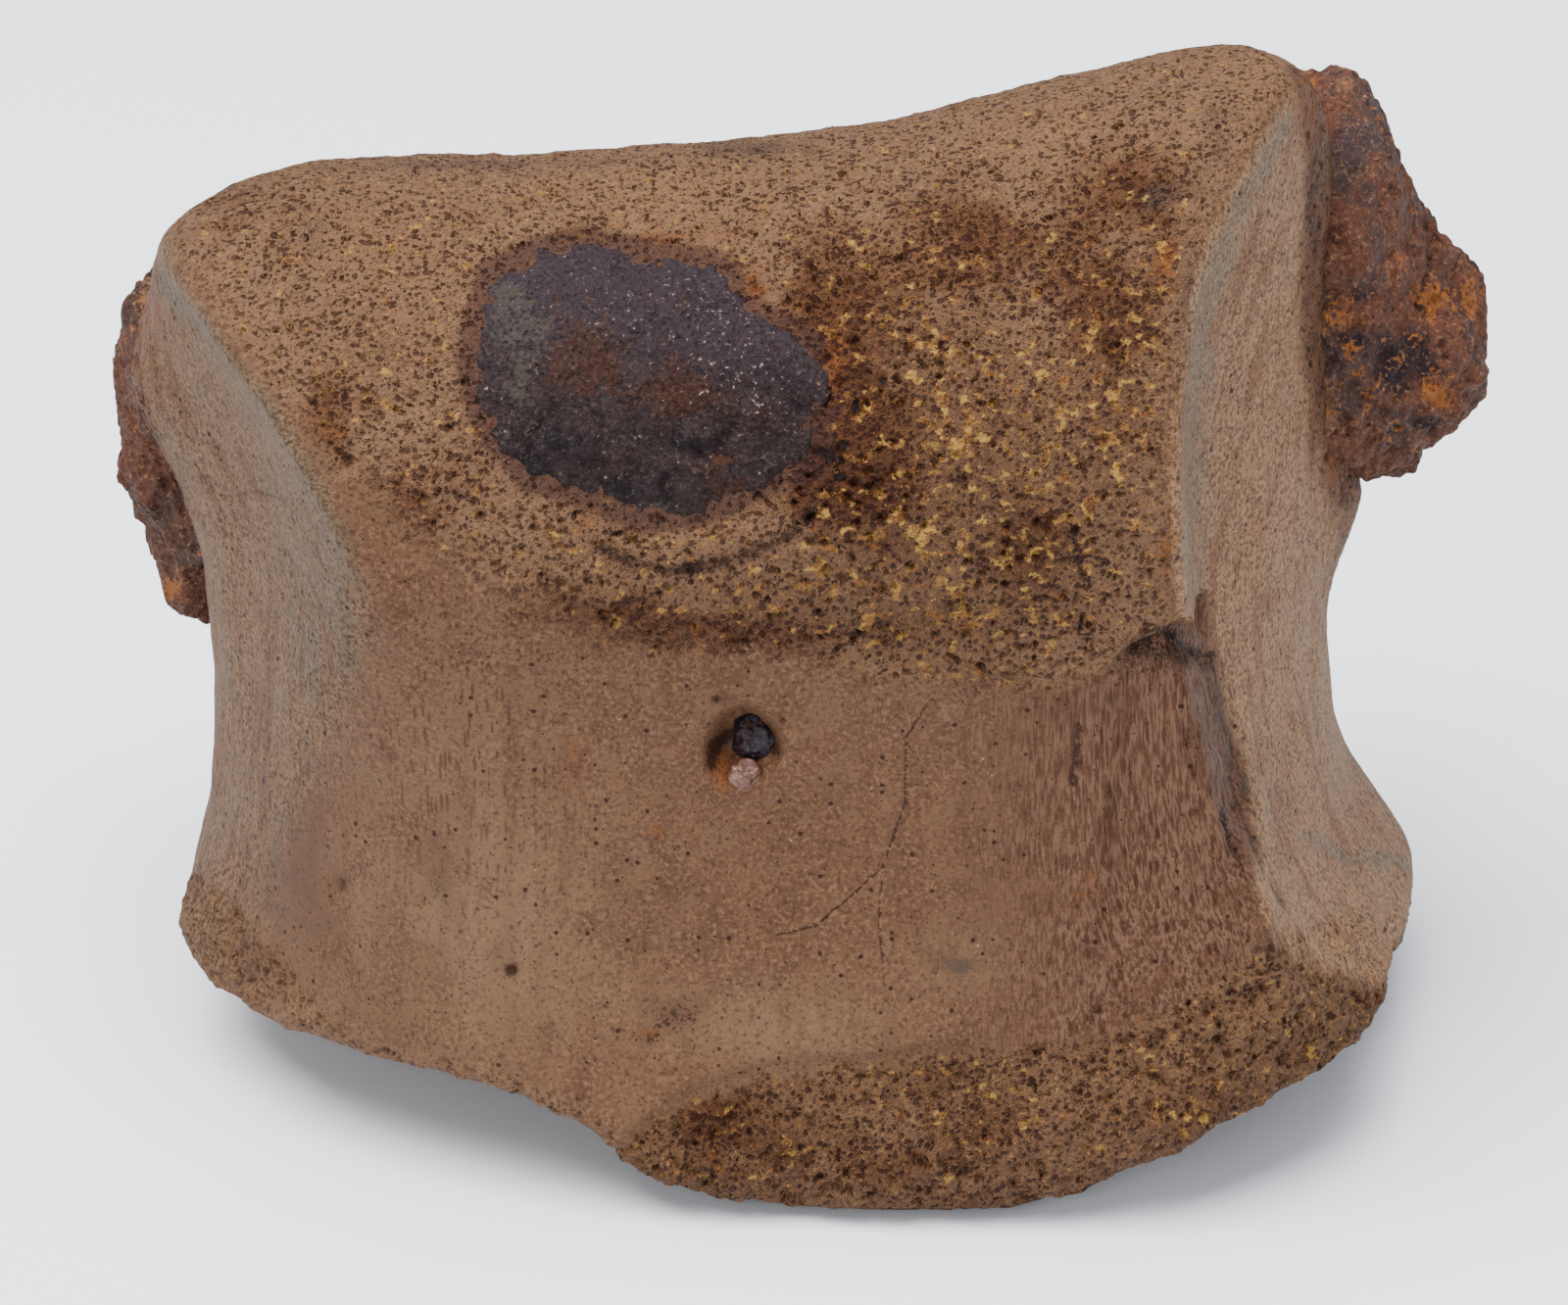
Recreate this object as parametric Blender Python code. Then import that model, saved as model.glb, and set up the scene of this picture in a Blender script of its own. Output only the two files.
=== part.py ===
"""Fossil toe bone of a horned dinosaur, life size, standing upright on its socket end.

The bone is one closed body. Its roller (the joint surface towards the claw) is on top, the
waisted shaft is in the middle, and the dished socket end stands on the floor on small flats.
Ironstone sits on it in three places, as crusts on both rear flanks and as a thin oval patch let
into the front of the roller. Each of the three is a body of its own.
"""

import math

import bmesh
import bpy
import numpy as np
from mathutils import Vector, noise

# Lengths are in millimetres until a mesh is made. X runs to the right, Y to the rear, Z up.
MM = 0.001
GAP = 0.35

# Driving dimensions of the bone
BASE_HALF_WIDTH = 54.3
BASE_FRONT = 36.0
BASE_REAR = 37.0
WIDEST_Y = 8.0
ROLLER_LEFT_HEIGHT = 52.4
ROLLER_RIGHT_HEIGHT = 63.3
ROLLER_LEFT_RADIUS = 27.0
ROLLER_RIGHT_RADIUS = 30.0
ROLLER_Y = 1.0
CENTRE = (-2.0, 2.0, 43.0)

# Heights and sizes of the two side hollows, where the side ligaments were fixed
HOLLOW_DEPTH_LEFT = 3.6
HOLLOW_DEPTH_RIGHT = 3.4

SOCKET_DEPTH = 8.5

# Oval patch on the roller's front, placed by X and by the angle round the roller's axis
PATCH_X = -12.6
PATCH_ANGLE = 43.0
PATCH_HALF_WIDTH = 15.4
PATCH_HALF_ANGLE = 25.5
PATCH_RECESS = 1.7
PATCH_PROUD = 0.4

# Resolution of the meshes before and after thinning
BONE_CELLS = 88
BONE_TRIANGLES = 10800
CRUST_CELLS = 44
CRUST_VOXEL = 0.5
CRUST_TRIANGLES = 1600
PATCH_RINGS = 9
PATCH_SECTORS = 40
HALVINGS = 26
FLAT_CATCH = 0.15


def ease(t, start, end):
    """0 before start, 1 after end, and a smooth step between."""
    s = np.clip((t - start) / (end - start), 0.0, 1.0)
    return s * s * (3.0 - 2.0 * s)


def through(t, *stations):
    """A smooth curve through a few (position, value) stations, flat beyond the ends."""
    at = np.array([s[0] for s in stations], float)
    value = np.array([s[1] for s in stations], float)
    slope = np.gradient(value, at)
    slope[0] = slope[-1] = 0.0
    t = np.clip(t, at[0], at[-1])
    k = np.clip(np.searchsorted(at, t, side="right") - 1, 0, len(at) - 2)
    step = at[k + 1] - at[k]
    s = (t - at[k]) / step
    return (
        (1 + 2 * s) * (1 - s) ** 2 * value[k]
        + s * (1 - s) ** 2 * step * slope[k]
        + s * s * (3 - 2 * s) * value[k + 1]
        + s * s * (s - 1) * step * slope[k + 1]
    )


def softly_positive(t):
    """t where it is above zero and 0 below, with a soft bend between."""
    return 0.5 * (t + np.sqrt(t * t + 0.03))


def bump(p, centre, radii):
    """1 at centre, falling to nearly 0 at 1.5 radii. A radius of None leaves that axis out."""
    total = 0.0
    for axis in range(3):
        if radii[axis] is not None:
            total = total + ((p[:, axis] - centre[axis]) / radii[axis]) ** 2
    return np.exp(-total)


def round_max(a, b, radius):
    """The larger of a and b, with their meeting edge rounded."""
    h = np.clip(0.5 + 0.5 * (a - b) / radius, 0.0, 1.0)
    return b + (a - b) * h + radius * h * (1.0 - h)


def lumps(p, size, seed):
    """Smooth random unevenness between -1 and 1, of about that size across."""
    shift = Vector((seed * 17.3, seed * 5.1, seed * 9.7))
    return np.array([noise.noise(Vector(q) / size + shift) for q in p])


def roller_height(x):
    """Height of the roller's axis. The right end stands higher, and the middle sags as a saddle."""
    return through(x, (-54, ROLLER_LEFT_HEIGHT), (-42, 54.5), (-16, 56.0), (2, 57.3), (20, 60.2), (40, ROLLER_RIGHT_HEIGHT))


def roller_radius(x):
    return through(x, (-52, ROLLER_LEFT_RADIUS), (-8, 27.3), (20, 28.6), (40, ROLLER_RIGHT_RADIUS))


def front_depth(z):
    """How far the front face stands forward of Y = 0, from the lip of the socket end up."""
    return through(z, (0, BASE_FRONT), (6, 35.6), (14, 32.4), (26, 28.8), (38, 27.2), (50, 27.6), (58, 28.0))


def rear_depth(z):
    return through(z, (0, BASE_REAR), (7, BASE_REAR), (18, 33.0), (32, 28.0), (44, 27.4), (58, 29.0))


def roller_and_shaft(p):
    """Front, top and rear in one: a round roller above its axis, and the shaft's faces below."""
    x, y, z = p.T
    height, radius = roller_height(x), roller_radius(x)
    over = np.hypot(y - ROLLER_Y, z - height) - radius
    join = height - 54.0
    front = -y - (front_depth(z - join * ease(z, 10, 50)) - 28.0 + radius - ROLLER_Y)
    rear = y - (rear_depth(z - join * ease(z, 10, 50)) - 29.0 + radius + ROLLER_Y)
    shaft = round_max(front, rear, 4.0)
    blend = ease(z, height - 8.0, height + 2.0)
    return shaft * (1 - blend) + over * blend


def left_face(p):
    """Distance out of the left face: its outline, the slant to the narrower front and the hollow."""
    x, y, z = p.T
    outline = through(
        z, (2, -53.2), (8, -BASE_HALF_WIDTH), (14, -52.8), (24, -52.4), (33, -52.4), (44, -53.4), (62, -56.0),
        (78, -56.0),
    )
    slant = through(z, (0, 7), (22, 11), (40, 16.5), (60, 19.0), (68, 17.0), (73, 14.0), (77, 9.0), (81, 1.5), (86, 0))
    ahead = np.clip((WIDEST_Y - y) / (WIDEST_Y + 27.0), 0, None)
    behind = np.clip((y - WIDEST_Y - 4.0) / 18.0, 0, None)
    hollow = HOLLOW_DEPTH_LEFT * bump(p, (0, -9, 56), (None, 11, 19))
    rear_hollow = 3.0 * bump(p, (0, 18, 46), (None, 8, 14))
    knob = 3.2 * bump(p, (0, 11, 59), (None, 9, 8))
    lobe = 2.8 * bump(p, (0, -4, 13), (None, 12, 7))
    side = outline + slant * ahead**1.5 + 8.0 * behind**2 + hollow + rear_hollow - knob - lobe
    return side - x


def right_face(p):
    x, y, z = p.T
    outline = through(
        z, (2, 53.8), (7, BASE_HALF_WIDTH + 0.6), (12, 55.3), (16, 52.9), (21, 49.9), (27, 48.2), (36, 46.9), (50, 47.0),
        (75, 46.6), (95, 46.0),
    )
    slant = through(z, (0, 7.5), (14, 5.5), (24, 7.5), (32, 9.4), (40, 11.4), (50, 14.0), (60, 15.4), (95, 15.4))
    ahead = softly_positive((WIDEST_Y - y) / (WIDEST_Y + 30.0))
    behind = softly_positive((y - WIDEST_Y - 2.0) / 18.0)
    hollow = HOLLOW_DEPTH_RIGHT * bump(p, (0, -17, 64), (None, 9, 26))
    flare = 3.2 * bump(p, (0, 12, 48.5), (None, 11, 7))
    side = outline - slant * ahead - 6.0 * behind**2 - hollow + flare
    return x - side


def floor_face(p):
    """The socket end: a shallow dish, with the rim lifted at the sides and on the floor at the lips."""
    x, y, z = p.T
    right_end = ease(x, 30, 48)
    near_front = 1 - ease(y, 8 - 18 * right_end, 24 - 10 * right_end)
    front = through(
        x, (-54, 7.6), (-42, 9.4), (-30, 9.8), (-21, 8.4), (-17, 6.4), (-14.5, 3.4), (-9, 0.8), (0, -0.5), (14, -0.5),
        (20, 0.4), (26, 2.2), (31, 4.4), (36, 7.0), (42, 8.7), (48, 9.8), (54, 10.4),
    )
    rear = 3.6 * ease(np.abs(x), 30, 52) - 0.5
    rim = front * near_front + rear * (1 - near_front)
    notch = 3.0 * bump(p, (2, BASE_REAR, 0), (9, 9, None))
    inside = np.clip(1 - (x / 47.0) ** 2 - ((y - 1.5) / 28.0) ** 2, 0, None)
    within = ease(inside, 0.0, 0.45)
    return (rim + notch) * (1 - within) + 3.0 * within + SOCKET_DEPTH * inside**1.2 - z


def worn_places(p):
    """Where the outer layer has gone: the lower right of the front, and the pocket under the ledge."""
    x, y, z = p.T
    ledge = 52.0 + 1.4 * np.sin(x * 0.55)
    below = ease(-z, -ledge - 0.6, -ledge + 0.6) * ease(z, 14, 30)
    worn = 1.3 * below * ease(x, 22.0, 27.0) * (1 - ease(x, 34, 38)) * ease(-y, 14, 20)
    pocket = 2.2 * bump(p, (29.5, -30, 50.0), (4.2, 6, 1.8))
    band = 0.9 * ease(-z, -12.0, -9.5) * ease(-y, 10, 20) * ease(x, -20, -8)
    foramen = 2.6 * bump(p, (-4.4, -28.5, 39.0), (2.2, 9, 2.4))
    groove = 1.8 * bump(p, (-4, 27, 66), (17, 16, 18)) + 2.2 * bump(p, (0, 31, 30), (20, 12, 13))
    return worn + pocket + band + foramen + groove


def patch_spread(p):
    """Place in the patch's oval: 0 in its middle, 1 on its edge, more outside."""
    x, y, z = p.T
    across = (x - PATCH_X) / PATCH_HALF_WIDTH
    up = (np.degrees(np.arctan2(z - roller_height(x), ROLLER_Y - y)) - PATCH_ANGLE) / PATCH_HALF_ANGLE
    return np.hypot(across, up) / patch_outline(np.arctan2(up, across))


def patch_outline(turn):
    """Unevenness of the patch's edge round its oval."""
    return 1 - 0.05 * np.sin(2 * turn) + 0.025 * np.sin(3 * turn + 1.2) + 0.015 * np.sin(7 * turn)


def patch_recess(spread):
    return PATCH_RECESS * (1 - ease(spread, 0.9, 1.1))


def unpatched_bone(p):
    """Signed field of the bone before the patch's recess, about millimetres, negative inside."""
    x, y, z = p.T
    body = roller_and_shaft(p)
    left_edge = through(z, (0, 36), (22, 26), (42, 14), (58, 5), (74, 4), (84, 14))
    right_edge = through(z, (0, 38), (14, 24), (26, 8), (40, 4.5), (60, 3), (95, 4))
    rear_edge = through(z, (0, 30), (40, 14), (90, 12))
    rearward = ease(y, -4, 12)
    body = round_max(body, left_face(p), left_edge * (1 - rearward) + rear_edge * rearward)
    body = round_max(body, right_face(p), right_edge * (1 - rearward) + rear_edge * rearward)
    body = round_max(body, floor_face(p), 5.0)
    return np.maximum(body + worn_places(p), -z)


def bone(p):
    return unpatched_bone(p) + patch_recess(patch_spread(p))


def widened_bone(p):
    """The bone made larger by the gap, to cut the crusts with."""
    return bone(p) - GAP - 0.1


def right_crust(p):
    """A rough knob on the right flank, thinning out up to the roller's corner."""
    return blobs(
        p, ((51.2, 19, 59.5), (9.2, 9.5, 7.6)), ((45.0, 18, 71), (7.0, 11.5, 12.5)), ((45.5, 21, 54), (8.0, 10.5, 6.0)),
        ((44.0, 26, 64), (7.5, 9.0, 12.0)),
    )


def left_crust(p):
    """A flatter crust in the hollow of the left flank, with a short spur below."""
    return blobs(
        p, ((-54.0, 20, 54.5), (7.0, 10.0, 9.5)), ((-51.8, 21, 43), (5.4, 10.0, 6.5)), ((-53.2, 19, 35.5), (3.2, 5.0, 2.8)),
        ((-49.5, 27, 51), (7.0, 8.0, 13.0)),
    )


def blobs(p, *ellipsoids):
    """Rounded union of ellipsoids, each a centre and three radii. Negative inside."""
    total = 0.0
    for middle, radii in ellipsoids:
        reach = sum(((p[:, a] - middle[a]) / radii[a]) ** 2 for a in range(3))
        total = total + np.exp(2.0 - 2.0 * reach)
    return 1 - total


def star_directions(cells, stretch):
    """Directions over a sphere from the six faces of a grid cube, crowded for a stretched body."""
    corners, faces, index = [], [], {}
    ticks = [math.tan(math.pi / 4 * (2 * i / cells - 1)) for i in range(cells + 1)]

    def corner(side, i, j):
        axis, sign = divmod(side, 2)
        key = [0, 0, 0]
        key[axis] = cells * sign
        key[(axis + 1) % 3], key[(axis + 2) % 3] = i, j
        key = tuple(key)
        if key not in index:
            index[key] = len(corners)
            corners.append([(-1.0, 1.0)[sign] if a == axis else ticks[key[a]] for a in range(3)])
        return index[key]

    for side in range(6):
        for i in range(cells):
            for j in range(cells):
                ring = [corner(side, i, j), corner(side, i + 1, j), corner(side, i + 1, j + 1), corner(side, i, j + 1)]
                faces.append(ring if side % 2 else ring[::-1])
    way = np.array(corners)
    way /= np.linalg.norm(way, axis=1, keepdims=True)
    way *= np.array(stretch)
    return way / np.linalg.norm(way, axis=1, keepdims=True), faces


def star_surface(field, centre, cells, stretch, reach):
    """Points where rays from centre leave the body, found by halving, with the faces that join them."""
    way, faces = star_directions(cells, stretch)
    start = np.array([centre] * len(way))
    return start + way * distance_out(field, start, way, reach)[:, None], faces


def distance_out(field, start, way, reach):
    near, far = np.zeros(len(way)), np.full(len(way), float(reach))
    for _ in range(HALVINGS):
        middle = 0.5 * (near + far)
        outside = field(start + way * middle[:, None]) > 0
        far = np.where(outside, middle, far)
        near = np.where(outside, near, middle)
    return 0.5 * (near + far)


def bone_surface(field, cells):
    """The bone's skin with its slight unevenness, which leaves out the flats and the patch's seat."""
    points, faces = star_surface(field, CENTRE, cells, (54, 36, 46), 90)
    uneven = 0.55 * lumps(points, 16.0, 1) + 0.3 * lumps(points, 6.0, 2)
    uneven *= ease(points[:, 2], 1.0, 5.0) * ease(patch_spread(points), 1.1, 1.4)
    outward = points - np.array(CENTRE)
    points = points + outward / np.linalg.norm(outward, axis=1, keepdims=True) * uneven[:, None]
    points[:, 2] = np.where(points[:, 2] < 0.03, 0.0, points[:, 2])
    return points, faces


def crust_surface(field, centre, seed):
    """A lump with a knobbly skin, still running into the bone."""
    points, faces = star_surface(field, centre, CRUST_CELLS, (10, 11, 14), 40)
    outward = points - np.array(centre)
    outward /= np.linalg.norm(outward, axis=1, keepdims=True)
    knobs = 1.6 * lumps(points, 8.0, seed) + 0.8 * lumps(points, 3.2, seed + 1)
    return points + outward * knobs[:, None], faces


def patch_surface():
    """The patch as a thin closed cap: rings of points on its top, then the same on its underside."""
    rho = np.repeat(np.arange(1, PATCH_RINGS + 1) / PATCH_RINGS, PATCH_SECTORS)
    turn = np.tile(np.arange(PATCH_SECTORS) * 2 * math.pi / PATCH_SECTORS, PATCH_RINGS)
    rho, turn = np.append(rho, 0.0), np.append(turn, 0.0)
    size = rho * patch_outline(turn)
    x = PATCH_X + PATCH_HALF_WIDTH * size * np.cos(turn)
    angle = np.radians(PATCH_ANGLE + PATCH_HALF_ANGLE * size * np.sin(turn))
    axis = np.stack([x, np.full_like(x, ROLLER_Y), roller_height(x)], 1)
    way = np.stack([np.zeros_like(x), -np.cos(angle), np.sin(angle)], 1)
    skin = distance_out(unpatched_bone, axis, way, 45)
    top = skin + PATCH_PROUD * (1 - rho**4)
    under = skin + GAP - patch_recess(rho)
    points = np.concatenate([axis + way * top[:, None], axis + way * under[:, None]])
    return points, cap_faces(PATCH_RINGS, PATCH_SECTORS)


def cap_faces(rings, sectors):
    middle = rings * sectors
    faces = []
    for side in (0, 1):
        shift = side * (middle + 1)
        for j in range(sectors):
            k = (j + 1) % sectors
            fan = [shift + middle, shift + j, shift + k]
            faces.append(fan[::-1] if side else fan)
            for i in range(rings - 1):
                ring = [i * sectors + j, (i + 1) * sectors + j, (i + 1) * sectors + k, i * sectors + k]
                ring = [shift + c for c in ring]
                faces.append(ring[::-1] if side else ring)
    for j in range(sectors):
        k = (j + 1) % sectors
        edge = [(rings - 1) * sectors + j, (rings - 1) * sectors + k]
        faces.append([edge[1], edge[0], edge[0] + middle + 1, edge[1] + middle + 1])
    return faces


def add_object(name, points, faces):
    mesh = bpy.data.meshes.new(name)
    mesh.from_pydata((points * MM).tolist(), [], faces)
    mesh.validate()
    made = bpy.data.objects.new(name, mesh)
    bpy.context.scene.collection.objects.link(made)
    return made


def thinned(made, triangles):
    """Collapses the mesh to about that many triangles, keeping edges and ridges."""
    triangulate = made.modifiers.new("Triangulate", "TRIANGULATE")
    triangulate.min_vertices = 4
    decimate = made.modifiers.new("Thin", "DECIMATE")
    decimate.ratio = min(1.0, triangles / (2.0 * len(made.data.polygons)))
    apply_modifiers(made)


def apply_modifiers(made):
    graph = bpy.context.evaluated_depsgraph_get()
    mesh = bpy.data.meshes.new_from_object(made.evaluated_get(graph))
    old = made.data
    made.modifiers.clear()
    made.data = mesh
    bpy.data.meshes.remove(old)


def cut_away(made, tool):
    """Takes the tool's body out of the object, then rebuilds its skin evenly, without feather edges."""
    cut = made.modifiers.new("Cut", "BOOLEAN")
    cut.operation = "DIFFERENCE"
    cut.solver = "EXACT"
    cut.object = tool
    skin = made.modifiers.new("Skin", "REMESH")
    skin.mode = "VOXEL"
    skin.voxel_size = CRUST_VOXEL * MM
    apply_modifiers(made)
    keep_largest(made)


def keep_largest(made):
    work = bmesh.new()
    work.from_mesh(made.data)
    pieces, seen = [], set()
    for first in work.verts:
        if first in seen:
            continue
        piece, queue = [], [first]
        seen.add(first)
        while queue:
            vertex = queue.pop()
            piece.append(vertex)
            for edge in vertex.link_edges:
                other = edge.other_vert(vertex)
                if other not in seen:
                    seen.add(other)
                    queue.append(other)
        pieces.append(piece)
    pieces.sort(key=len)
    for piece in pieces[:-1]:
        bmesh.ops.delete(work, geom=piece, context="VERTS")
    work.to_mesh(made.data)
    work.free()


def settle_flats(made):
    """Brings the vertices that thinning has moved off the floor back onto it."""
    for vertex in made.data.vertices:
        if vertex.co.z < FLAT_CATCH * MM:
            vertex.co.z = 0.0


def paint(made, colour, roughness):
    material = bpy.data.materials.new(made.name)
    material.use_nodes = True
    shader = material.node_tree.nodes["Principled BSDF"]
    shader.inputs["Base Color"].default_value = (*colour, 1.0)
    shader.inputs["Roughness"].default_value = roughness
    shader.inputs["Metallic"].default_value = 0.0
    made.data.materials.clear()
    made.data.materials.append(material)
    made.data.shade_smooth()


def centre_on_floor(objects):
    """Moves the whole so that the middle of its outline box stands over the origin, on the floor."""
    points = np.array([v.co[:] for made in objects for v in made.data.vertices])
    low, high = points.min(axis=0), points.max(axis=0)
    shift = Vector((-(low[0] + high[0]) / 2, -(low[1] + high[1]) / 2, -low[2]))
    for made in objects:
        for vertex in made.data.vertices:
            vertex.co += shift


def clear_scene():
    for old in list(bpy.data.objects):
        bpy.data.objects.remove(old)


def main():
    clear_scene()
    phalanx = add_object("phalanx", *bone_surface(bone, BONE_CELLS))
    thinned(phalanx, BONE_TRIANGLES)
    settle_flats(phalanx)

    cutter = add_object("cutter", *bone_surface(widened_bone, BONE_CELLS))
    right = add_object("ironstone_right", *crust_surface(right_crust, (49, 20, 60), 3))
    left = add_object("ironstone_left", *crust_surface(left_crust, (-54, 20, 48), 5))
    for crust in (right, left):
        cut_away(crust, cutter)
        thinned(crust, CRUST_TRIANGLES)
    bpy.data.objects.remove(cutter)
    patch = add_object("ironstone_patch", *patch_surface())

    paint(phalanx, (0.24, 0.15, 0.10), 0.72)
    paint(right, (0.13, 0.065, 0.04), 0.65)
    paint(left, (0.12, 0.06, 0.045), 0.65)
    paint(patch, (0.055, 0.038, 0.04), 0.5)
    centre_on_floor([phalanx, right, left, patch])


main()
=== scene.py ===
"""A life-size fossil toe bone of a horned dinosaur, as a still museum piece on a pale table."""

import math

import bpy
import numpy as np
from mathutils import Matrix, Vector, noise


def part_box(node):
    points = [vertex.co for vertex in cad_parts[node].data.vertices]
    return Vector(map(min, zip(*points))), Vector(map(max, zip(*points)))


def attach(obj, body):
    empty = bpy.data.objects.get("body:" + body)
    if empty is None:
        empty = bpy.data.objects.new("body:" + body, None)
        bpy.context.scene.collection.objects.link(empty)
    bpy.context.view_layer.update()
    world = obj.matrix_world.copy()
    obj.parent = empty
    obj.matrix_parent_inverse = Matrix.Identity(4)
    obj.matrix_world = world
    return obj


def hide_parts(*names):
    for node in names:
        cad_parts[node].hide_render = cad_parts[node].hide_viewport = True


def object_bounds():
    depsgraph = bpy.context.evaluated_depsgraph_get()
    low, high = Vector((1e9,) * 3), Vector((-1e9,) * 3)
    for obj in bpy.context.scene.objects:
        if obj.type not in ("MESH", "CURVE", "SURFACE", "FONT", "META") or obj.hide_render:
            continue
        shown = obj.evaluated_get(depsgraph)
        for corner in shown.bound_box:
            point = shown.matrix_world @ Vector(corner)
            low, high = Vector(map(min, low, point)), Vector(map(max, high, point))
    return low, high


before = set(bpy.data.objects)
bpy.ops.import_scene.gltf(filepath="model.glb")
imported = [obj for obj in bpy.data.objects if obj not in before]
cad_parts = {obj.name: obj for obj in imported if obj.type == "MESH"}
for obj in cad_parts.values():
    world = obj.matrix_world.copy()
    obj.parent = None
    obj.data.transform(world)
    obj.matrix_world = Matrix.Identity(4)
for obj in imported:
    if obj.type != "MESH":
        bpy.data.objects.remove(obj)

cad_box = [list(corner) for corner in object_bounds()]


# Table top and light.
# The bone lies on a seamless pale sheet under a large soft light from above, in front and slightly
# to the left, with weak fill from the front and the right. The sheet reads as a cool white.

def linear(red, green, blue):
    """A colour given as it looks, 0 to 255, in the light values that the shaders work with."""
    values = [c / 255.0 for c in (red, green, blue)]
    values = [v / 12.92 if v <= 0.04045 else ((v + 0.055) / 1.055) ** 2.4 for v in values]
    return (*values, 1.0)


SHEET_HALF = 3.0
SHEET_COLOUR = (0.9, 0.925, 0.97, 1.0)
ROOM_STRENGTH = 0.65
LIGHTS_AIM = Vector((0, 0, 0.04))

sheet_mesh = bpy.data.meshes.new("table_sheet")
sheet_corners = [(a * SHEET_HALF, b * SHEET_HALF, 0) for a, b in ((-1, -1), (1, -1), (1, 1), (-1, 1))]
sheet_mesh.from_pydata(sheet_corners, [], [(0, 1, 2, 3)])
table_sheet = bpy.data.objects.new("table_sheet", sheet_mesh)
bpy.context.scene.collection.objects.link(table_sheet)
sheet_paint = bpy.data.materials.new("pale_sheet")
sheet_paint.use_nodes = True
sheet_shader = sheet_paint.node_tree.nodes["Principled BSDF"]
sheet_shader.inputs["Base Color"].default_value = SHEET_COLOUR
sheet_shader.inputs["Roughness"].default_value = 0.9
sheet_shader.inputs["Specular IOR Level"].default_value = 0.1
sheet_mesh.materials.append(sheet_paint)

room = bpy.data.worlds.new("soft_room")
room.use_nodes = True
room_light = room.node_tree.nodes["Background"]
room_light.inputs["Color"].default_value = linear(236, 242, 255)
room_light.inputs["Strength"].default_value = ROOM_STRENGTH
bpy.context.scene.world = room

for name, place, size, power, tint in (
        ("overhead_softbox", (-0.18, -0.12, 0.95), 0.9, 30.0, (1.0, 0.99, 0.975)),
        ("front_fill", (-0.4, -1.05, 0.45), 0.6, 5.85, (0.98, 0.99, 1.0)),
        ("right_fill", (0.95, -0.35, 0.5), 0.5, 1.95, (0.98, 0.99, 1.0))):
    lamp = bpy.data.lights.new(name, "AREA")
    lamp.shape = "SQUARE"
    lamp.size = size
    lamp.energy = power
    lamp.color = tint
    light = bpy.data.objects.new(name, lamp)
    light.location = place
    light.rotation_euler = (LIGHTS_AIM - Vector(place)).to_track_quat("-Z", "Y").to_euler()
    bpy.context.scene.collection.objects.link(light)


# The bone's form.
# A finger-like toe bone, squat and broad: a roller on top for the next bone, a waisted shaft, and
# a dished socket end below. Fossil bone is stone-hard; the form is one closed skin without seams.
# Lengths of the form are in millimetres in its own frame: X right, Y to the rear, Z up.

ROLLER_Y = 1.0
WIDEST_Y = 8.0
CENTRE = np.array((-2.0, 2.0, 43.0))
SKIN_CELLS = 170
VESSEL_X, VESSEL_Z = -4.8, 42.6
PATCH_MIDDLE_X, PATCH_HALF_WIDTH = -12.6, 15.4
PATCH_LIFT, PATCH_HALF_LIFT = 43.0, 25.5


def ease(t, start, end):
    """A smooth step from 0 at start to 1 at end."""
    s = np.clip((t - start) / (end - start), 0.0, 1.0)
    return s * s * (3.0 - 2.0 * s)


def through(t, *stations):
    """A smooth curve through a few (position, value) stations, flat beyond the ends."""
    at = np.array([s[0] for s in stations], float)
    value = np.array([s[1] for s in stations], float)
    slope = np.gradient(value, at)
    slope[0] = slope[-1] = 0.0
    t = np.clip(t, at[0], at[-1])
    k = np.clip(np.searchsorted(at, t, side="right") - 1, 0, len(at) - 2)
    step = at[k + 1] - at[k]
    s = (t - at[k]) / step
    return ((1 + 2 * s) * (1 - s) ** 2 * value[k] + s * (1 - s) ** 2 * step * slope[k]
            + s * s * (3 - 2 * s) * value[k + 1] + s * s * (s - 1) * step * slope[k + 1])


def softly_positive(t):
    """t where it is above 0 and nearly 0 below, without a corner between."""
    return 0.5 * (t + np.sqrt(t * t + 0.03))


def bump(p, centre, radii):
    """1 at centre, falling to nearly 0 at 1.5 radii. A radius of None leaves that axis out."""
    total = 0.0
    for axis in range(3):
        if radii[axis] is not None:
            total = total + ((p[:, axis] - centre[axis]) / radii[axis]) ** 2
    return np.exp(-total)


def round_max(a, b, radius):
    """The larger of two fields, which cuts one form by the other with a rounded edge."""
    h = np.clip(0.5 + 0.5 * (a - b) / radius, 0.0, 1.0)
    return b + (a - b) * h + radius * h * (1.0 - h)


def roller_height(x):
    """How high the roller's axis runs: it rises to the right."""
    return through(x, (-54, 52.4), (-42, 54.5), (-16, 56.0), (2, 57.3), (20, 60.2), (40, 63.3))


def roller_radius(x):
    return through(x, (-52, 27.0), (-8, 27.3), (20, 28.6), (40, 30.0))


def roller_and_shaft(p):
    """The form's front, rear and top: the roller over a shaft that is waisted from front to rear."""
    x, y, z = p.T
    height, radius = roller_height(x), roller_radius(x)
    over = np.hypot(y - ROLLER_Y, z - height) - radius
    level = z - (height - 54.0) * ease(z, 10, 50)
    front_depth = through(
        level, (0, 36), (6, 35.6), (14, 32.4), (26, 28.8), (38, 27.2), (50, 27.6), (58, 28.0))
    rear_depth = through(level, (0, 37), (7, 37), (18, 33.0), (32, 28.0), (44, 27.4), (58, 29.0))
    front = -y - (front_depth - 28.0 + radius - ROLLER_Y)
    rear = y - (rear_depth - 29.0 + radius + ROLLER_Y)
    blend = ease(z, height - 8.0, height + 2.0)
    return round_max(front, rear, 4.0) * (1 - blend) + over * blend


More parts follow.
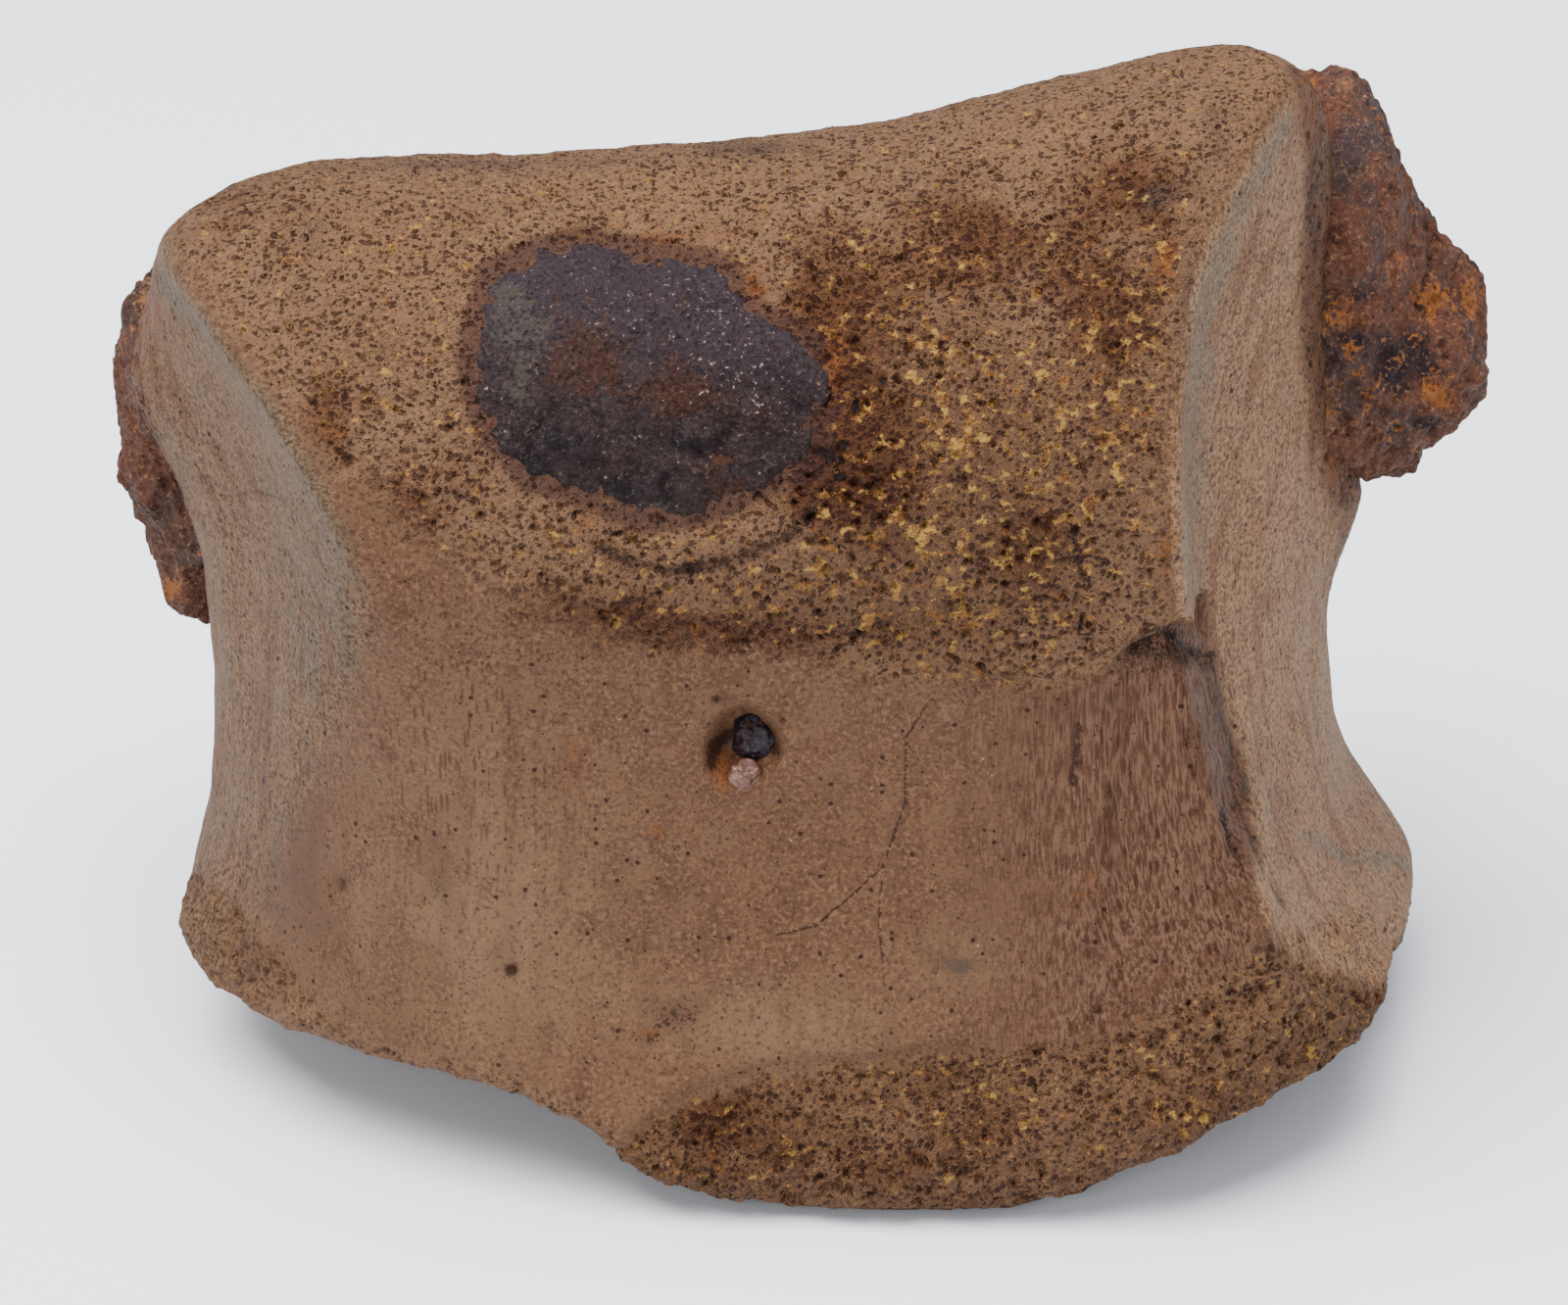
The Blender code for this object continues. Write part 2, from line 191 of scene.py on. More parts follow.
def left_face(p):
    """The left flank, slanted in towards the front, with its hollows and two knobs."""
    x, y, z = p.T
    outline = through(
        z, (2, -53.2), (8, -54.3), (14, -52.8), (24, -52.4), (33, -52.4), (44, -53.4), (62, -56.0),
        (78, -56.0))
    slant = through(
        z, (0, 7), (22, 11), (40, 16.5), (60, 19.0), (68, 17.0), (73, 14.0), (77, 9.0), (81, 1.5), (86, 0))
    ahead = np.clip((WIDEST_Y - y) / (WIDEST_Y + 27.0), 0, None)
    behind = np.clip((y - WIDEST_Y - 4.0) / 18.0, 0, None)
    hollow = 3.6 * bump(p, (0, -9, 56), (None, 11, 19)) + 3.0 * bump(p, (0, 18, 46), (None, 8, 14))
    knob = 3.2 * bump(p, (0, 11, 59), (None, 9, 8)) + 2.8 * bump(p, (0, -4, 13), (None, 12, 7))
    return outline + slant * ahead**1.5 + 8.0 * behind**2 + hollow - knob - x


def right_face(p):
    """The right flank, with one long hollow and a flare behind it that carries the crust."""
    x, y, z = p.T
    outline = through(
        z, (2, 53.8), (7, 54.9), (12, 55.3), (16, 52.9), (21, 49.9), (27, 48.2), (36, 46.9), (50, 47.0),
        (75, 46.6), (95, 46.0))
    slant = through(
        z, (0, 7.5), (14, 5.5), (24, 7.5), (32, 9.4), (40, 11.4), (50, 14.0), (60, 15.4), (95, 15.4))
    ahead = softly_positive((WIDEST_Y - y) / (WIDEST_Y + 30.0))
    behind = softly_positive((y - WIDEST_Y - 2.0) / 18.0)
    hollow = 3.4 * bump(p, (0, -17, 64), (None, 9, 26))
    flare = 3.2 * bump(p, (0, 12, 48.5), (None, 11, 7))
    return x - (outline - slant * ahead - 6.0 * behind**2 - hollow + flare)


def floor_face(p):
    """The dished socket end, with its rim lifted at the sides and on the floor at the lips."""
    x, y, z = p.T
    right_end = ease(x, 30, 48)
    near_front = 1 - ease(y, 8 - 18 * right_end, 24 - 10 * right_end)
    front = through(
        x, (-54, 7.6), (-42, 9.4), (-30, 9.8), (-21, 8.4), (-17, 6.4), (-14.5, 3.4), (-9, 0.8),
        (0, -0.5), (14, -0.5), (20, 0.4), (26, 2.2), (31, 4.4), (36, 7.0), (42, 8.7), (48, 9.8), (54, 10.4))
    rear = 3.6 * ease(np.abs(x), 30, 52) - 0.5
    rim = front * near_front + rear * (1 - near_front) + 3.0 * bump(p, (2, 37, 0), (9, 9, None))
    inside = np.clip(1 - (x / 47.0) ** 2 - ((y - 1.5) / 28.0) ** 2, 0, None)
    within = ease(inside, 0.0, 0.45)
    return rim * (1 - within) + 3.0 * within + 8.5 * inside**1.2 - z


def worn_places(p):
    """How deep the form is cut: below the ledge, along the lower lip, at the vessel, down the rear."""
    x, y, z = p.T
    ledge = 52.2 + 3.0 * np.exp(-(((x - 30.6) / 2.7) ** 2)) + 0.35 * np.sin(x * 2.1)
    below = ease(-z, -ledge - 0.35, -ledge + 0.35) * ease(z, 14, 30)
    worn = 1.4 * below * ease(x, 24.0, 28.0) * (1 - ease(x, 36, 40)) * ease(-y, 14, 20)
    pocket = 2.4 * bump(p, (30.8, -30, 53.0), (3.6, 6, 1.7)) * below
    lip_top = through(x, (-20, 4), (-15, 8.5), (-10, 12), (-5, 14), (3, 15.3), (12, 16.3), (20, 17))
    band = 0.9 * ease(lip_top - z, -0.6, 1.0) * ease(-y, 10, 20) * ease(x, -20, -12)
    band *= 1 - 0.8 * ease(x, 10, 24)
    hole = ((x - VESSEL_X) / 2.7) ** 2 + ((z - VESSEL_Z) / 3.4) ** 2
    foramen = 2.7 * np.exp(-hole**2.5) * ease(-y, 10, 18)
    groove = 1.8 * bump(p, (-4, 27, 66), (17, 16, 18)) + 2.2 * bump(p, (0, 31, 30), (20, 12, 13))
    return worn + pocket + band + foramen + groove


def bone_form(p):
    """Signed field of the whole bone, about millimetres, negative inside."""
    x, y, z = p.T
    left_edge = through(z, (0, 36), (22, 26), (42, 12), (56, 3), (74, 2), (84, 12))
    right_edge = through(z, (0, 38), (14, 22), (26, 5), (40, 1.8), (60, 1.2), (95, 2.5))
    rear_edge = through(z, (0, 30), (40, 14), (90, 12))
    rearward = ease(y, -4, 12)
    body = round_max(roller_and_shaft(p), left_face(p), left_edge * (1 - rearward) + rear_edge * rearward)
    body = round_max(body, right_face(p), right_edge * (1 - rearward) + rear_edge * rearward)
    body = round_max(body, floor_face(p), 5.0)
    return np.maximum(body + worn_places(p), -z)


def lumps(p, size, seed):
    """Smooth unevenness between -1 and 1, of about that size across, always the same."""
    shift = Vector((seed * 17.3, seed * 5.1, seed * 9.7))
    return np.array([noise.noise(Vector(q) / size + shift) for q in p])


def star_directions(cells, stretch):
    """Directions over a sphere from the six faces of a grid cube, with the faces that join them."""
    corners, faces, index = [], [], {}
    ticks = [math.tan(math.pi / 4 * (2 * i / cells - 1)) for i in range(cells + 1)]
    for side in range(6):
        axis, sign = divmod(side, 2)
        grid = []
        for i in range(cells + 1):
            row = []
            for j in range(cells + 1):
                key = [0, 0, 0]
                key[axis] = cells * sign
                key[(axis + 1) % 3], key[(axis + 2) % 3] = i, j
                key = tuple(key)
                if key not in index:
                    index[key] = len(corners)
                    corners.append([(-1.0, 1.0)[sign] if a == axis else ticks[key[a]] for a in range(3)])
                row.append(index[key])
            grid.append(row)
        for i in range(cells):
            for j in range(cells):
                ring = [grid[i][j], grid[i + 1][j], grid[i + 1][j + 1], grid[i][j + 1]]
                faces.append(ring if sign else ring[::-1])
    way = np.array(corners) * np.array(stretch)
    return way / np.linalg.norm(way, axis=1, keepdims=True), faces


def distance_out(field, start, way, reach, halvings=22):
    """How far along each way the field turns positive, found by halving."""
    near, far = np.zeros(len(way)), np.full(len(way), float(reach))
    for _ in range(halvings):
        middle = 0.5 * (near + far)
        outside = field(start + way * middle[:, None]) > 0
        far = np.where(outside, middle, far)
        near = np.where(outside, near, middle)
    return 0.5 * (near + far)


def patch_spread(p):
    """Place in the dark patch's oval: 0 in its middle, 1 on its edge, more outside."""
    x, y, z = p.T
    across = (x - PATCH_MIDDLE_X) / PATCH_HALF_WIDTH
    lift = np.degrees(np.arctan2(z - roller_height(x), ROLLER_Y - y))
    up = (lift - PATCH_LIFT) / PATCH_HALF_LIFT
    return np.hypot(across, up) / patch_outline(np.arctan2(up, across))


def patch_outline(turn):
    """How far the patch reaches at that turn, as a share of its oval."""
    return 1 - 0.05 * np.sin(2 * turn) + 0.025 * np.sin(3 * turn + 1.2) + 0.015 * np.sin(7 * turn)


skin_way, skin_faces = star_directions(SKIN_CELLS, (54, 36, 46))
skin = CENTRE + skin_way * distance_out(bone_form, CENTRE, skin_way, 90)[:, None]
uneven = 0.55 * lumps(skin, 16.0, 1) + 0.3 * lumps(skin, 6.0, 2)
uneven *= ease(skin[:, 2], 1.0, 5.0) * ease(patch_spread(skin), 1.1, 1.4)
skin = skin + skin_way * uneven[:, None]
skin[:, 2] = np.where(skin[:, 2] < 0.03, 0.0, skin[:, 2])

# The frame's bone is centred over the origin, so the form is moved onto it.
low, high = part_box("phalanx")
ORIGIN = (np.array(low) + np.array(high)) * 500.0 - (skin.min(axis=0) + skin.max(axis=0)) / 2.0
ORIGIN[2] = 0.0


def placed(points):
    """Points of the form, in millimetres, as they stand in the frame, in metres."""
    return (points + ORIGIN) * 0.001


def mesh_object(name, points, faces, readings=None):
    """A mesh in the frame, with its undisturbed place and other readings kept at every vertex."""
    mesh = bpy.data.meshes.new(name)
    mesh.from_pydata(placed(points).tolist(), [], faces)
    rest = mesh.attributes.new("rest", "FLOAT_VECTOR", "POINT")
    rest.data.foreach_set("vector", np.asarray(points, np.float32).ravel())
    for label, values in (readings or {}).items():
        layer = mesh.attributes.new(label, "FLOAT", "POINT")
        layer.data.foreach_set("value", np.asarray(values, np.float32))
    made = bpy.data.objects.new(name, mesh)
    bpy.context.scene.collection.objects.link(made)
    return made


# What the skin is like from place to place: distances in millimetres from the lines where one kind
# of surface gives way to the next, and stained places, painted shade and a painted highlight by where
# they show in a picture 1600 steps wide, taken by the camera at the end of this script. A millimetre
# is about 12 steps across, 11 down.

EYE_ELEVATION = math.radians(28.0)
EYE_AWAY = 620.0
PICTURE_REACH = 7254.0  # steps that a millimetre takes up when it is a millimetre from the eye
PICTURE_ACROSS, PICTURE_DOWN = 817.0, 645.0
STEPS_ACROSS, STEPS_DOWN = 12.0, 11.0
SHAFT_MIDDLE = np.array((0.0, 0.0, 40.0))
TOWARD_EYE = np.array((0.0, -math.cos(EYE_ELEVATION), math.sin(EYE_ELEVATION)))
EYE_UP = np.array((0.0, math.sin(EYE_ELEVATION), math.cos(EYE_ELEVATION)))

corners = np.array(skin_faces)
spans = np.cross(skin[corners[:, 2]] - skin[corners[:, 0]], skin[corners[:, 3]] - skin[corners[:, 1]])
skin_out = np.zeros_like(skin)
for k in range(4):
    np.add.at(skin_out, corners[:, k], spans)
skin_out /= np.linalg.norm(skin_out, axis=1, keepdims=True)
facing = ease(skin_out @ TOWARD_EYE, 0.0, 0.12)


def seen_from_front(points):
    """Where points of the form show in the picture of the front: steps across and steps down."""
    from_middle = points - SHAFT_MIDDLE
    near = PICTURE_REACH / (EYE_AWAY - from_middle @ TOWARD_EYE)
    return PICTURE_ACROSS + near * from_middle[:, 0], PICTURE_DOWN - near * (from_middle @ EYE_UP)


# Soft spots for real stains, and also for painted shade, such as the spot under the ledge.
def soft_spots(seen, *spots):
    """The sum of soft spots, up to 1: across, down, half width, half height, strength."""
    total = 0.0
    for across, down, wide, high, strength in spots:
        beside, below = (seen[0] - across) / wide, (seen[1] - down) / high
        total = total + strength * np.exp(-(beside**2) - below**2)
    return np.clip(total, 0, 1)


def off_line(seen, *turns):
    """How far each place shows from the broken line through the turns."""
    nearest = np.full(len(seen[0]), 1e9)
    for (x0, y0), (x1, y1) in zip(turns, turns[1:]):
        run = (x1 - x0) ** 2 + (y1 - y0) ** 2
        s = np.clip(((seen[0] - x0) * (x1 - x0) + (seen[1] - y0) * (y1 - y0)) / run, 0, 1)
        nearest = np.minimum(nearest, np.hypot(seen[0] - x0 - s * (x1 - x0), seen[1] - y0 - s * (y1 - y0)))
    return nearest


def strokes(seen, *lines):
    """Soft lines, up to 1: half width, strength, then the turns."""
    total = 0.0
    for wide, strength, *turns in lines:
        total = total + strength * np.exp(-((off_line(seen, *turns) / wide) ** 2))
    return np.clip(total, 0, 1)


PATCH_BORDER = (
    (480, 387), (483, 330), (500, 280), (548, 256), (600, 247), (673, 257), (730, 270), (756, 300),
    (773, 323), (808, 338), (837, 363), (842, 407), (827, 473), (790, 490), (740, 513), (700, 528),
    (653, 527), (607, 510), (540, 490), (507, 450))


def into_patch(seen):
    """Millimetres inwards from the dark patch's border, negative outside it."""
    turns = PATCH_BORDER + PATCH_BORDER[:1]
    crossings = np.zeros(len(seen[0]), int)
    for (x0, y0), (x1, y1) in zip(turns, turns[1:]):
        if y0 != y1:
            spans_it = (seen[1] > min(y0, y1)) & (seen[1] <= max(y0, y1))
            crossings += spans_it & (seen[0] < x0 + (seen[1] - y0) / (y1 - y0) * (x1 - x0))
    return np.where(crossings % 2 == 1, 1, -1) * off_line(seen, *turns) / STEPS_ACROSS


x, y, z = skin.T
seen = seen_from_front(skin)
front_joint = z - through(
    x, (-52, 78), (-37, 67), (-22, 56.5), (0, 51.0), (20, 49.5), (26, 51.0), (30.5, 54.8), (34.5, 52.2),
    (40, 50))
rear_joint = z - through(x, (-50, 44), (0, 36), (44, 46))
behind = ease(y, -8, 8)
on_left, on_right = -left_face(skin), -right_face(skin)
joint = np.minimum(front_joint * (1 - behind) + rear_joint * behind, np.minimum(on_left, on_right) - 1.0)
socket = ease(-z + 7.0, -3, 3) * np.clip(1.15 - (x / 50.0) ** 2 - ((y - 1.5) / 32.0) ** 2, 0, 1)
lip_line = through(x, (-20, 1.0), (-15, 5), (-8, 9), (3, 11.3), (20, 13.7), (41, 16), (50, 17), (56, 13))
lip = lip_line - z - 8 * ease(y, 4, 14) - 8 * ease(-x, 16, 20)
lip_seen = (seen[1] - through(
    seen[0], (560, 1260), (620, 1190), (700, 1130), (760, 1108), (850, 1093), (960, 1082), (1040, 1072),
    (1120, 1058), (1180, 1040), (1235, 1005), (1290, 965), (1340, 945), (1450, 935))) / STEPS_DOWN
lip = lip * (1 - facing) + lip_seen * facing
rim = (seen[1] - through(
    seen[0], (150, 840), (200, 880), (285, 965), (340, 1035), (480, 1075), (600, 1125),
    (680, 1170))) / STEPS_DOWN
rim_seen = ease(rim, -1.0, 3.0) * ease(-x, 12, 18)
rim_unseen = 0.7 * ease(-z, -6, -2) * ease(-x, 14, 20)
rim = rim_seen * facing + rim_unseen * (1 - facing)
to_right_crust = np.linalg.norm((skin - np.array((49, 22, 66))) / np.array((14.0, 14.5, 22.0)), axis=1)
to_left_crust = np.linalg.norm((skin - np.array((-54, 23, 48))) / np.array((11.0, 12.0, 16.0)), axis=1)
OCHRE = soft_spots(
    seen, (1000, 450, 130, 150, 0.75), (1140, 400, 45, 130, 0.6), (900, 560, 70, 60, 0.5),
    (940, 640, 120, 30, 0.5), (1190, 255, 16, 40, 0.9), (1060, 590, 60, 50, 0.45),
    (760, 600, 120, 35, 0.4), (600, 560, 60, 50, 0.25), (380, 360, 60, 50, 0.35),
    (490, 450, 40, 50, 0.3), (400, 250, 80, 50, 0.2), (925, 340, 40, 40, 0.4), (1000, 690, 60, 20, 0.5),
    (588, 750, 18, 50, 0.35), (800, 1170, 35, 25, 0.5), (720, 1195, 60, 20, 0.35),
    (1010, 1150, 40, 30, 0.45), (1230, 1130, 80, 30, 0.5), (1410, 1030, 35, 30, 0.5),
    (1330, 1060, 60, 40, 0.35), (1220, 960, 30, 60, 0.3), (960, 1095, 60, 20, 0.35))
DEEP = soft_spots(
    seen, (980, 250, 90, 60, 0.8), (1150, 190, 60, 50, 0.7), (1150, 330, 50, 60, 0.5),
    (850, 300, 50, 60, 0.9), (870, 420, 60, 60, 0.9), (860, 500, 80, 50, 0.9), (430, 520, 50, 60, 0.6),
    (560, 640, 130, 40, 0.8), (760, 650, 150, 30, 0.6), (330, 430, 50, 50, 0.5), (240, 200, 60, 40, 0.4),
    (720, 1140, 60, 30, 0.7), (1060, 560, 60, 60, 0.5), (900, 1190, 200, 40, 0.4),
    (1100, 300, 40, 60, 0.4), (260, 975, 60, 40, 0.5))
# Paler tone, and one painted highlight: the thin stroke down the right ridge of the roller stands in for
# the light caught by its sharp edge.
PALE_AND_RIDGE_HIGHLIGHT = np.maximum(soft_spots(
    seen, (390, 250, 80, 60, 0.5), (900, 250, 80, 40, 0.4), (1060, 150, 90, 40, 0.5),
    (1290, 75, 40, 30, 0.6), (480, 960, 170, 140, 0.8), (470, 780, 110, 130, 0.35),
    (800, 1050, 110, 45, 0.8), (990, 980, 60, 35, 0.6), (690, 200, 130, 30, 0.8),
    (1310, 1020, 110, 60, 0.5), (1150, 1110, 100, 30, 0.3)), strokes(
    seen, (11, 0.9, (640, 548), (700, 550), (750, 533), (785, 508), (803, 480)),
    (5, 0.6, (1203, 340), (1199, 440), (1202, 560), (1210, 640))))
SLOTTED = soft_spots(
    seen, (480, 690, 90, 160, 0.8), (560, 850, 90, 130, 0.45), (400, 800, 60, 200, 0.5),
    (620, 650, 150, 45, 0.6))
# Listed pits, sunk into the skin and painted dark as the shade inside them.
PITS = soft_spots(
    seen, (521, 992, 9, 8, 1.0), (346, 905, 8, 11, 0.7), (432, 921, 7, 10, 0.6), (353, 470, 9, 14, 0.9),
    (731, 716, 7, 6, 0.8), (797, 738, 7, 6, 0.8), (660, 970, 12, 12, 0.5), (957, 985, 8, 8, 0.6),
    (905, 640, 8, 7, 0.7), (1212, 760, 7, 12, 0.7), (1120, 1035, 10, 8, 0.8), (1050, 1085, 8, 10, 0.8),
    (905, 1190, 10, 8, 0.8), (1290, 1010, 9, 9, 0.8), (830, 1150, 9, 9, 0.7), (700, 1170, 9, 8, 0.7),
    (1180, 1100, 11, 8, 0.8), (1245, 1060, 9, 9, 0.8), (1000, 1205, 12, 8, 0.8), (225, 940, 10, 8, 0.7),
    (255, 1000, 12, 8, 0.7), (390, 1075, 12, 7, 0.6))
# Grey stains, and painted shade: the stroke just under the ledge and the stroke along the low crease on the
# right flank darken those recesses as shade.
GREY_STAINS_AND_SHADE = np.maximum(soft_spots(
    seen, (470, 168, 180, 10, 0.5), (760, 150, 90, 12, 0.6), (320, 240, 20, 25, 0.5),
    (310, 300, 20, 25, 0.4), (1180, 200, 22, 14, 0.8), (450, 885, 16, 60, 0.3), (975, 985, 22, 9, 0.8),
    (1240, 150, 18, 60, 0.6), (330, 620, 40, 130, 0.5), (300, 900, 50, 90, 0.5),
    (1213, 330, 16, 110, 0.6), (1215, 500, 14, 110, 0.6)), strokes(
    seen,
    (12, 0.6, (150, 275), (185, 310), (225, 355), (268, 405),
     (302, 458), (328, 515), (346, 590), (354, 680)),
    (13, 0.65, (1312, 125), (1266, 205), (1242, 270), (1226, 330), (1220, 400)),
    (5, 0.9, (1238, 680), (1244, 730), (1258, 780), (1275, 812)),
    (6, 0.9, (1337, 853), (1355, 866), (1388, 879), (1420, 875), (1446, 890)),
    (9, 0.7, (1165, 668), (1200, 672), (1232, 676))))
RUSTY = soft_spots(
    seen, (690, 545, 60, 10, 0.35), (600, 530, 30, 12, 0.4), (770, 290, 16, 26, 0.7),
    (850, 370, 12, 45, 0.7), (700, 240, 70, 8, 0.5), (1335, 110, 12, 40, 0.9), (150, 330, 20, 70, 0.5),
    (178, 595, 14, 30, 1.0), (588, 780, 12, 26, 0.8), (672, 850, 9, 9, 1.0), (662, 1056, 9, 7, 1.0),
    (1110, 900, 12, 22, 0.6), (1190, 560, 8, 60, 0.6), (340, 440, 14, 14, 0.6), (738, 790, 12, 30, 0.9),
    (1190, 265, 12, 40, 0.6), (1360, 470, 14, 30, 0.6), (1290, 620, 10, 20, 0.5),
    (215, 650, 16, 90, 0.4), (222, 770, 14, 60, 0.4))
# Painted shade, with real dark marks: the spot and arc under the ledge and the arc over the vessel hole
# stand in for the shade in those recesses; the other strokes and spots are dark lines and cracks.
SHADE = np.maximum(soft_spots(
    seen, (690, 1035, 30, 18, 0.7), (662, 1062, 14, 9, 0.6), (850, 480, 22, 40, 0.5),
    (1182, 660, 20, 9, 0.7)), strokes(
    seen,
    (9, 0.75, (612, 557), (645, 576), (690, 583), (735, 576), (775, 561), (810, 543), (828, 525)),
    (7, 1.0, (1153, 664), (1166, 652), (1182, 645), (1196, 647), (1206, 657), (1222, 665), (1237, 668)),
    (8, 0.9, (728, 782), (730, 762), (744, 749), (765, 744), (784, 751), (791, 768)),
    (4, 0.7, (1256, 795), (1272, 840), (1292, 890), (1312, 925)),
    (4, 0.6, (1240, 800), (1252, 840), (1270, 890)),
    (4, 0.6, (1104, 575), (1100, 610), (1105, 655)),
    (3, 0.6, (232, 508), (262, 503), (290, 512))))
by_crust = facing * strokes(
    seen,
    (17, 1.0, (1335, 75), (1352, 130), (1350, 220), (1347, 300), (1356, 370), (1378, 430), (1380, 470)),
    (9, 0.8, (135, 310), (128, 380), (150, 450), (182, 540), (185, 600)))
skin_readings = {
    "joint": np.clip(joint, -12, 12), "on_left": np.clip(on_left, 0, 25),
    "on_right": np.clip(on_right, 0, 25), "lip": np.clip(lip, -12, 12), "socket": socket, "rim": rim,
    "patch": np.clip(into_patch(seen), -3, 3) * facing - 3 * (1 - facing),
    "near_crust": np.clip(np.minimum(to_right_crust, to_left_crust), 0, 3) * (1 - 0.75 * by_crust),
    "ochre": np.clip(OCHRE * facing + 0.22 * (1 - facing), 0, 1),
    "facing": ease(skin_out @ TOWARD_EYE, -0.3, 0.2)}
front_spots = {
    "deep": DEEP, "pale": PALE_AND_RIDGE_HIGHLIGHT, "slotted": SLOTTED, "pits": PITS, "greyed_and_shade": GREY_STAINS_AND_SHADE, "rusty": RUSTY,
    "shade": SHADE}
for label, spots in front_spots.items():
    skin_readings[label] = spots * facing


# The bone's texture.
# Spongy fossil bone shows through on the roller and the lower lip: open pores between fine struts,
# many filled with ochre mineral. The shaft keeps its dense outer layer, with hair-fine pores, and
# the flanks are grained along the old fibres. Relief and colour are built from the same functions.

class Wire:
    """A value or a vector on its way through a node tree, so that a pattern is written as a sum."""

    def __init__(self, tree, socket, vector=False):
        self.tree, self.socket, self.vector = tree, socket, vector

    def joined(self, operation, *others):
        """This wire and others taken through one node of arithmetic."""
        vector = self.vector or any(isinstance(o, Wire) and o.vector for o in others)
        node = self.tree.nodes.new("ShaderNodeVectorMath" if vector else "ShaderNodeMath")
        node.operation = operation
        for slot, value in zip(node.inputs, (self, *others)):
            if isinstance(value, Wire):
                self.tree.links.new(value.socket, slot)
            elif vector and not isinstance(value, tuple):
                slot.default_value = (value, value, value)
            else:
                slot.default_value = value
        return Wire(self.tree, node.outputs[0], vector)

    def __add__(self, other):
        return self.joined("ADD", other)

    def __sub__(self, other):
        return self.joined("SUBTRACT", other)

    def __mul__(self, other):
        return self.joined("MULTIPLY", other)

    def __rsub__(self, other):
        return (self * -1.0) + other

    __radd__, __rmul__ = __add__, __mul__

    def least(self, other):
        return self.joined("MINIMUM", other)

    def most(self, other):
        return self.joined("MAXIMUM", other)


def rising(value, start, end, low=0.0, high=1.0):
    """A smooth step from low at start to high at end."""
    node = value.tree.nodes.new("ShaderNodeMapRange")
    node.interpolation_type = "SMOOTHSTEP"
    value.tree.links.new(value.socket, node.inputs["Value"])
    for label, number in (("From Min", start), ("From Max", end), ("To Min", low), ("To Max", high)):
        node.inputs[label].default_value = number
    return Wire(value.tree, node.outputs[0])


def split(place):
    """The three parts of a vector."""
    node = place.tree.nodes.new("ShaderNodeSeparateXYZ")
    place.tree.links.new(place.socket, node.inputs[0])
    return [Wire(place.tree, output) for output in node.outputs]


def gather(across, along, up):
    """A vector from its three parts."""
    tree = across.tree
    node = tree.nodes.new("ShaderNodeCombineXYZ")
    for slot, value in zip(node.inputs, (across, along, up)):
        tree.links.new(value.socket, slot)
    return Wire(tree, node.outputs[0], True)


def clouds(place, size, detail=2.0, roughness=0.5, drift=0.0):
    """Cloudy variation between 0 and 1, around a half, of about that size in millimetres."""
    tree = place.tree
    node = tree.nodes.new("ShaderNodeTexNoise")
    node.inputs["Scale"].default_value = 1.0
    node.inputs["Detail"].default_value = detail
    node.inputs["Roughness"].default_value = roughness
    tree.links.new((place * (1.0 / size) + (drift, drift * 0.7, drift * 1.3)).socket, node.inputs["Vector"])
    return Wire(tree, node.outputs["Fac"])


def wander(place, size, reach):
    """The place, bent to and fro by up to about that reach, so that no pattern runs straight."""
    tree = place.tree
    node = tree.nodes.new("ShaderNodeTexNoise")
    node.inputs["Scale"].default_value = 1.0
    node.inputs["Detail"].default_value = 1.0
    tree.links.new((place * (1.0 / size)).socket, node.inputs["Vector"])
    return place + (Wire(tree, node.outputs["Color"], True) - 0.5) * (2.0 * reach)


def cells(place, size, drift=0.0):
    """Distance to the nearest of scattered points, in cells, and a chance number for each cell."""
    tree = place.tree
    node = tree.nodes.new("ShaderNodeTexVoronoi")
    node.inputs["Scale"].default_value = 1.0
    tree.links.new((place * (1.0 / size) + (drift, drift * 1.7, drift * 0.6)).socket, node.inputs["Vector"])
    return Wire(tree, node.outputs["Distance"]), split(Wire(tree, node.outputs["Color"], True))[0]


def reading(tree, label, vector=False):
    """What is kept at the vertices under that name."""
    if tree.bl_idname == "GeometryNodeTree":
        node = tree.nodes.new("GeometryNodeInputNamedAttribute")
        node.data_type = "FLOAT_VECTOR" if vector else "FLOAT"
        node.inputs["Name"].default_value = label
        return Wire(tree, node.outputs["Attribute"], vector)
    node = tree.nodes.new("ShaderNodeAttribute")
    node.attribute_name = label
    return Wire(tree, node.outputs["Vector" if vector else "Fac"], vector)


def along_fibres(place):
    """The place in a frame that runs with the bone's old fibres: down the shaft, fanned at the foot."""
    across, along, up = split(place)
    low_right = rising(up, 50.0, 8.0) * rising(across, 16.0, 30.0)
    fanned = across - (across - 18.0) * low_right * 0.34
    leaning = along - (up - 50.0).most(0.0) * 0.62
    return gather(fanned, leaning, up * 0.16)


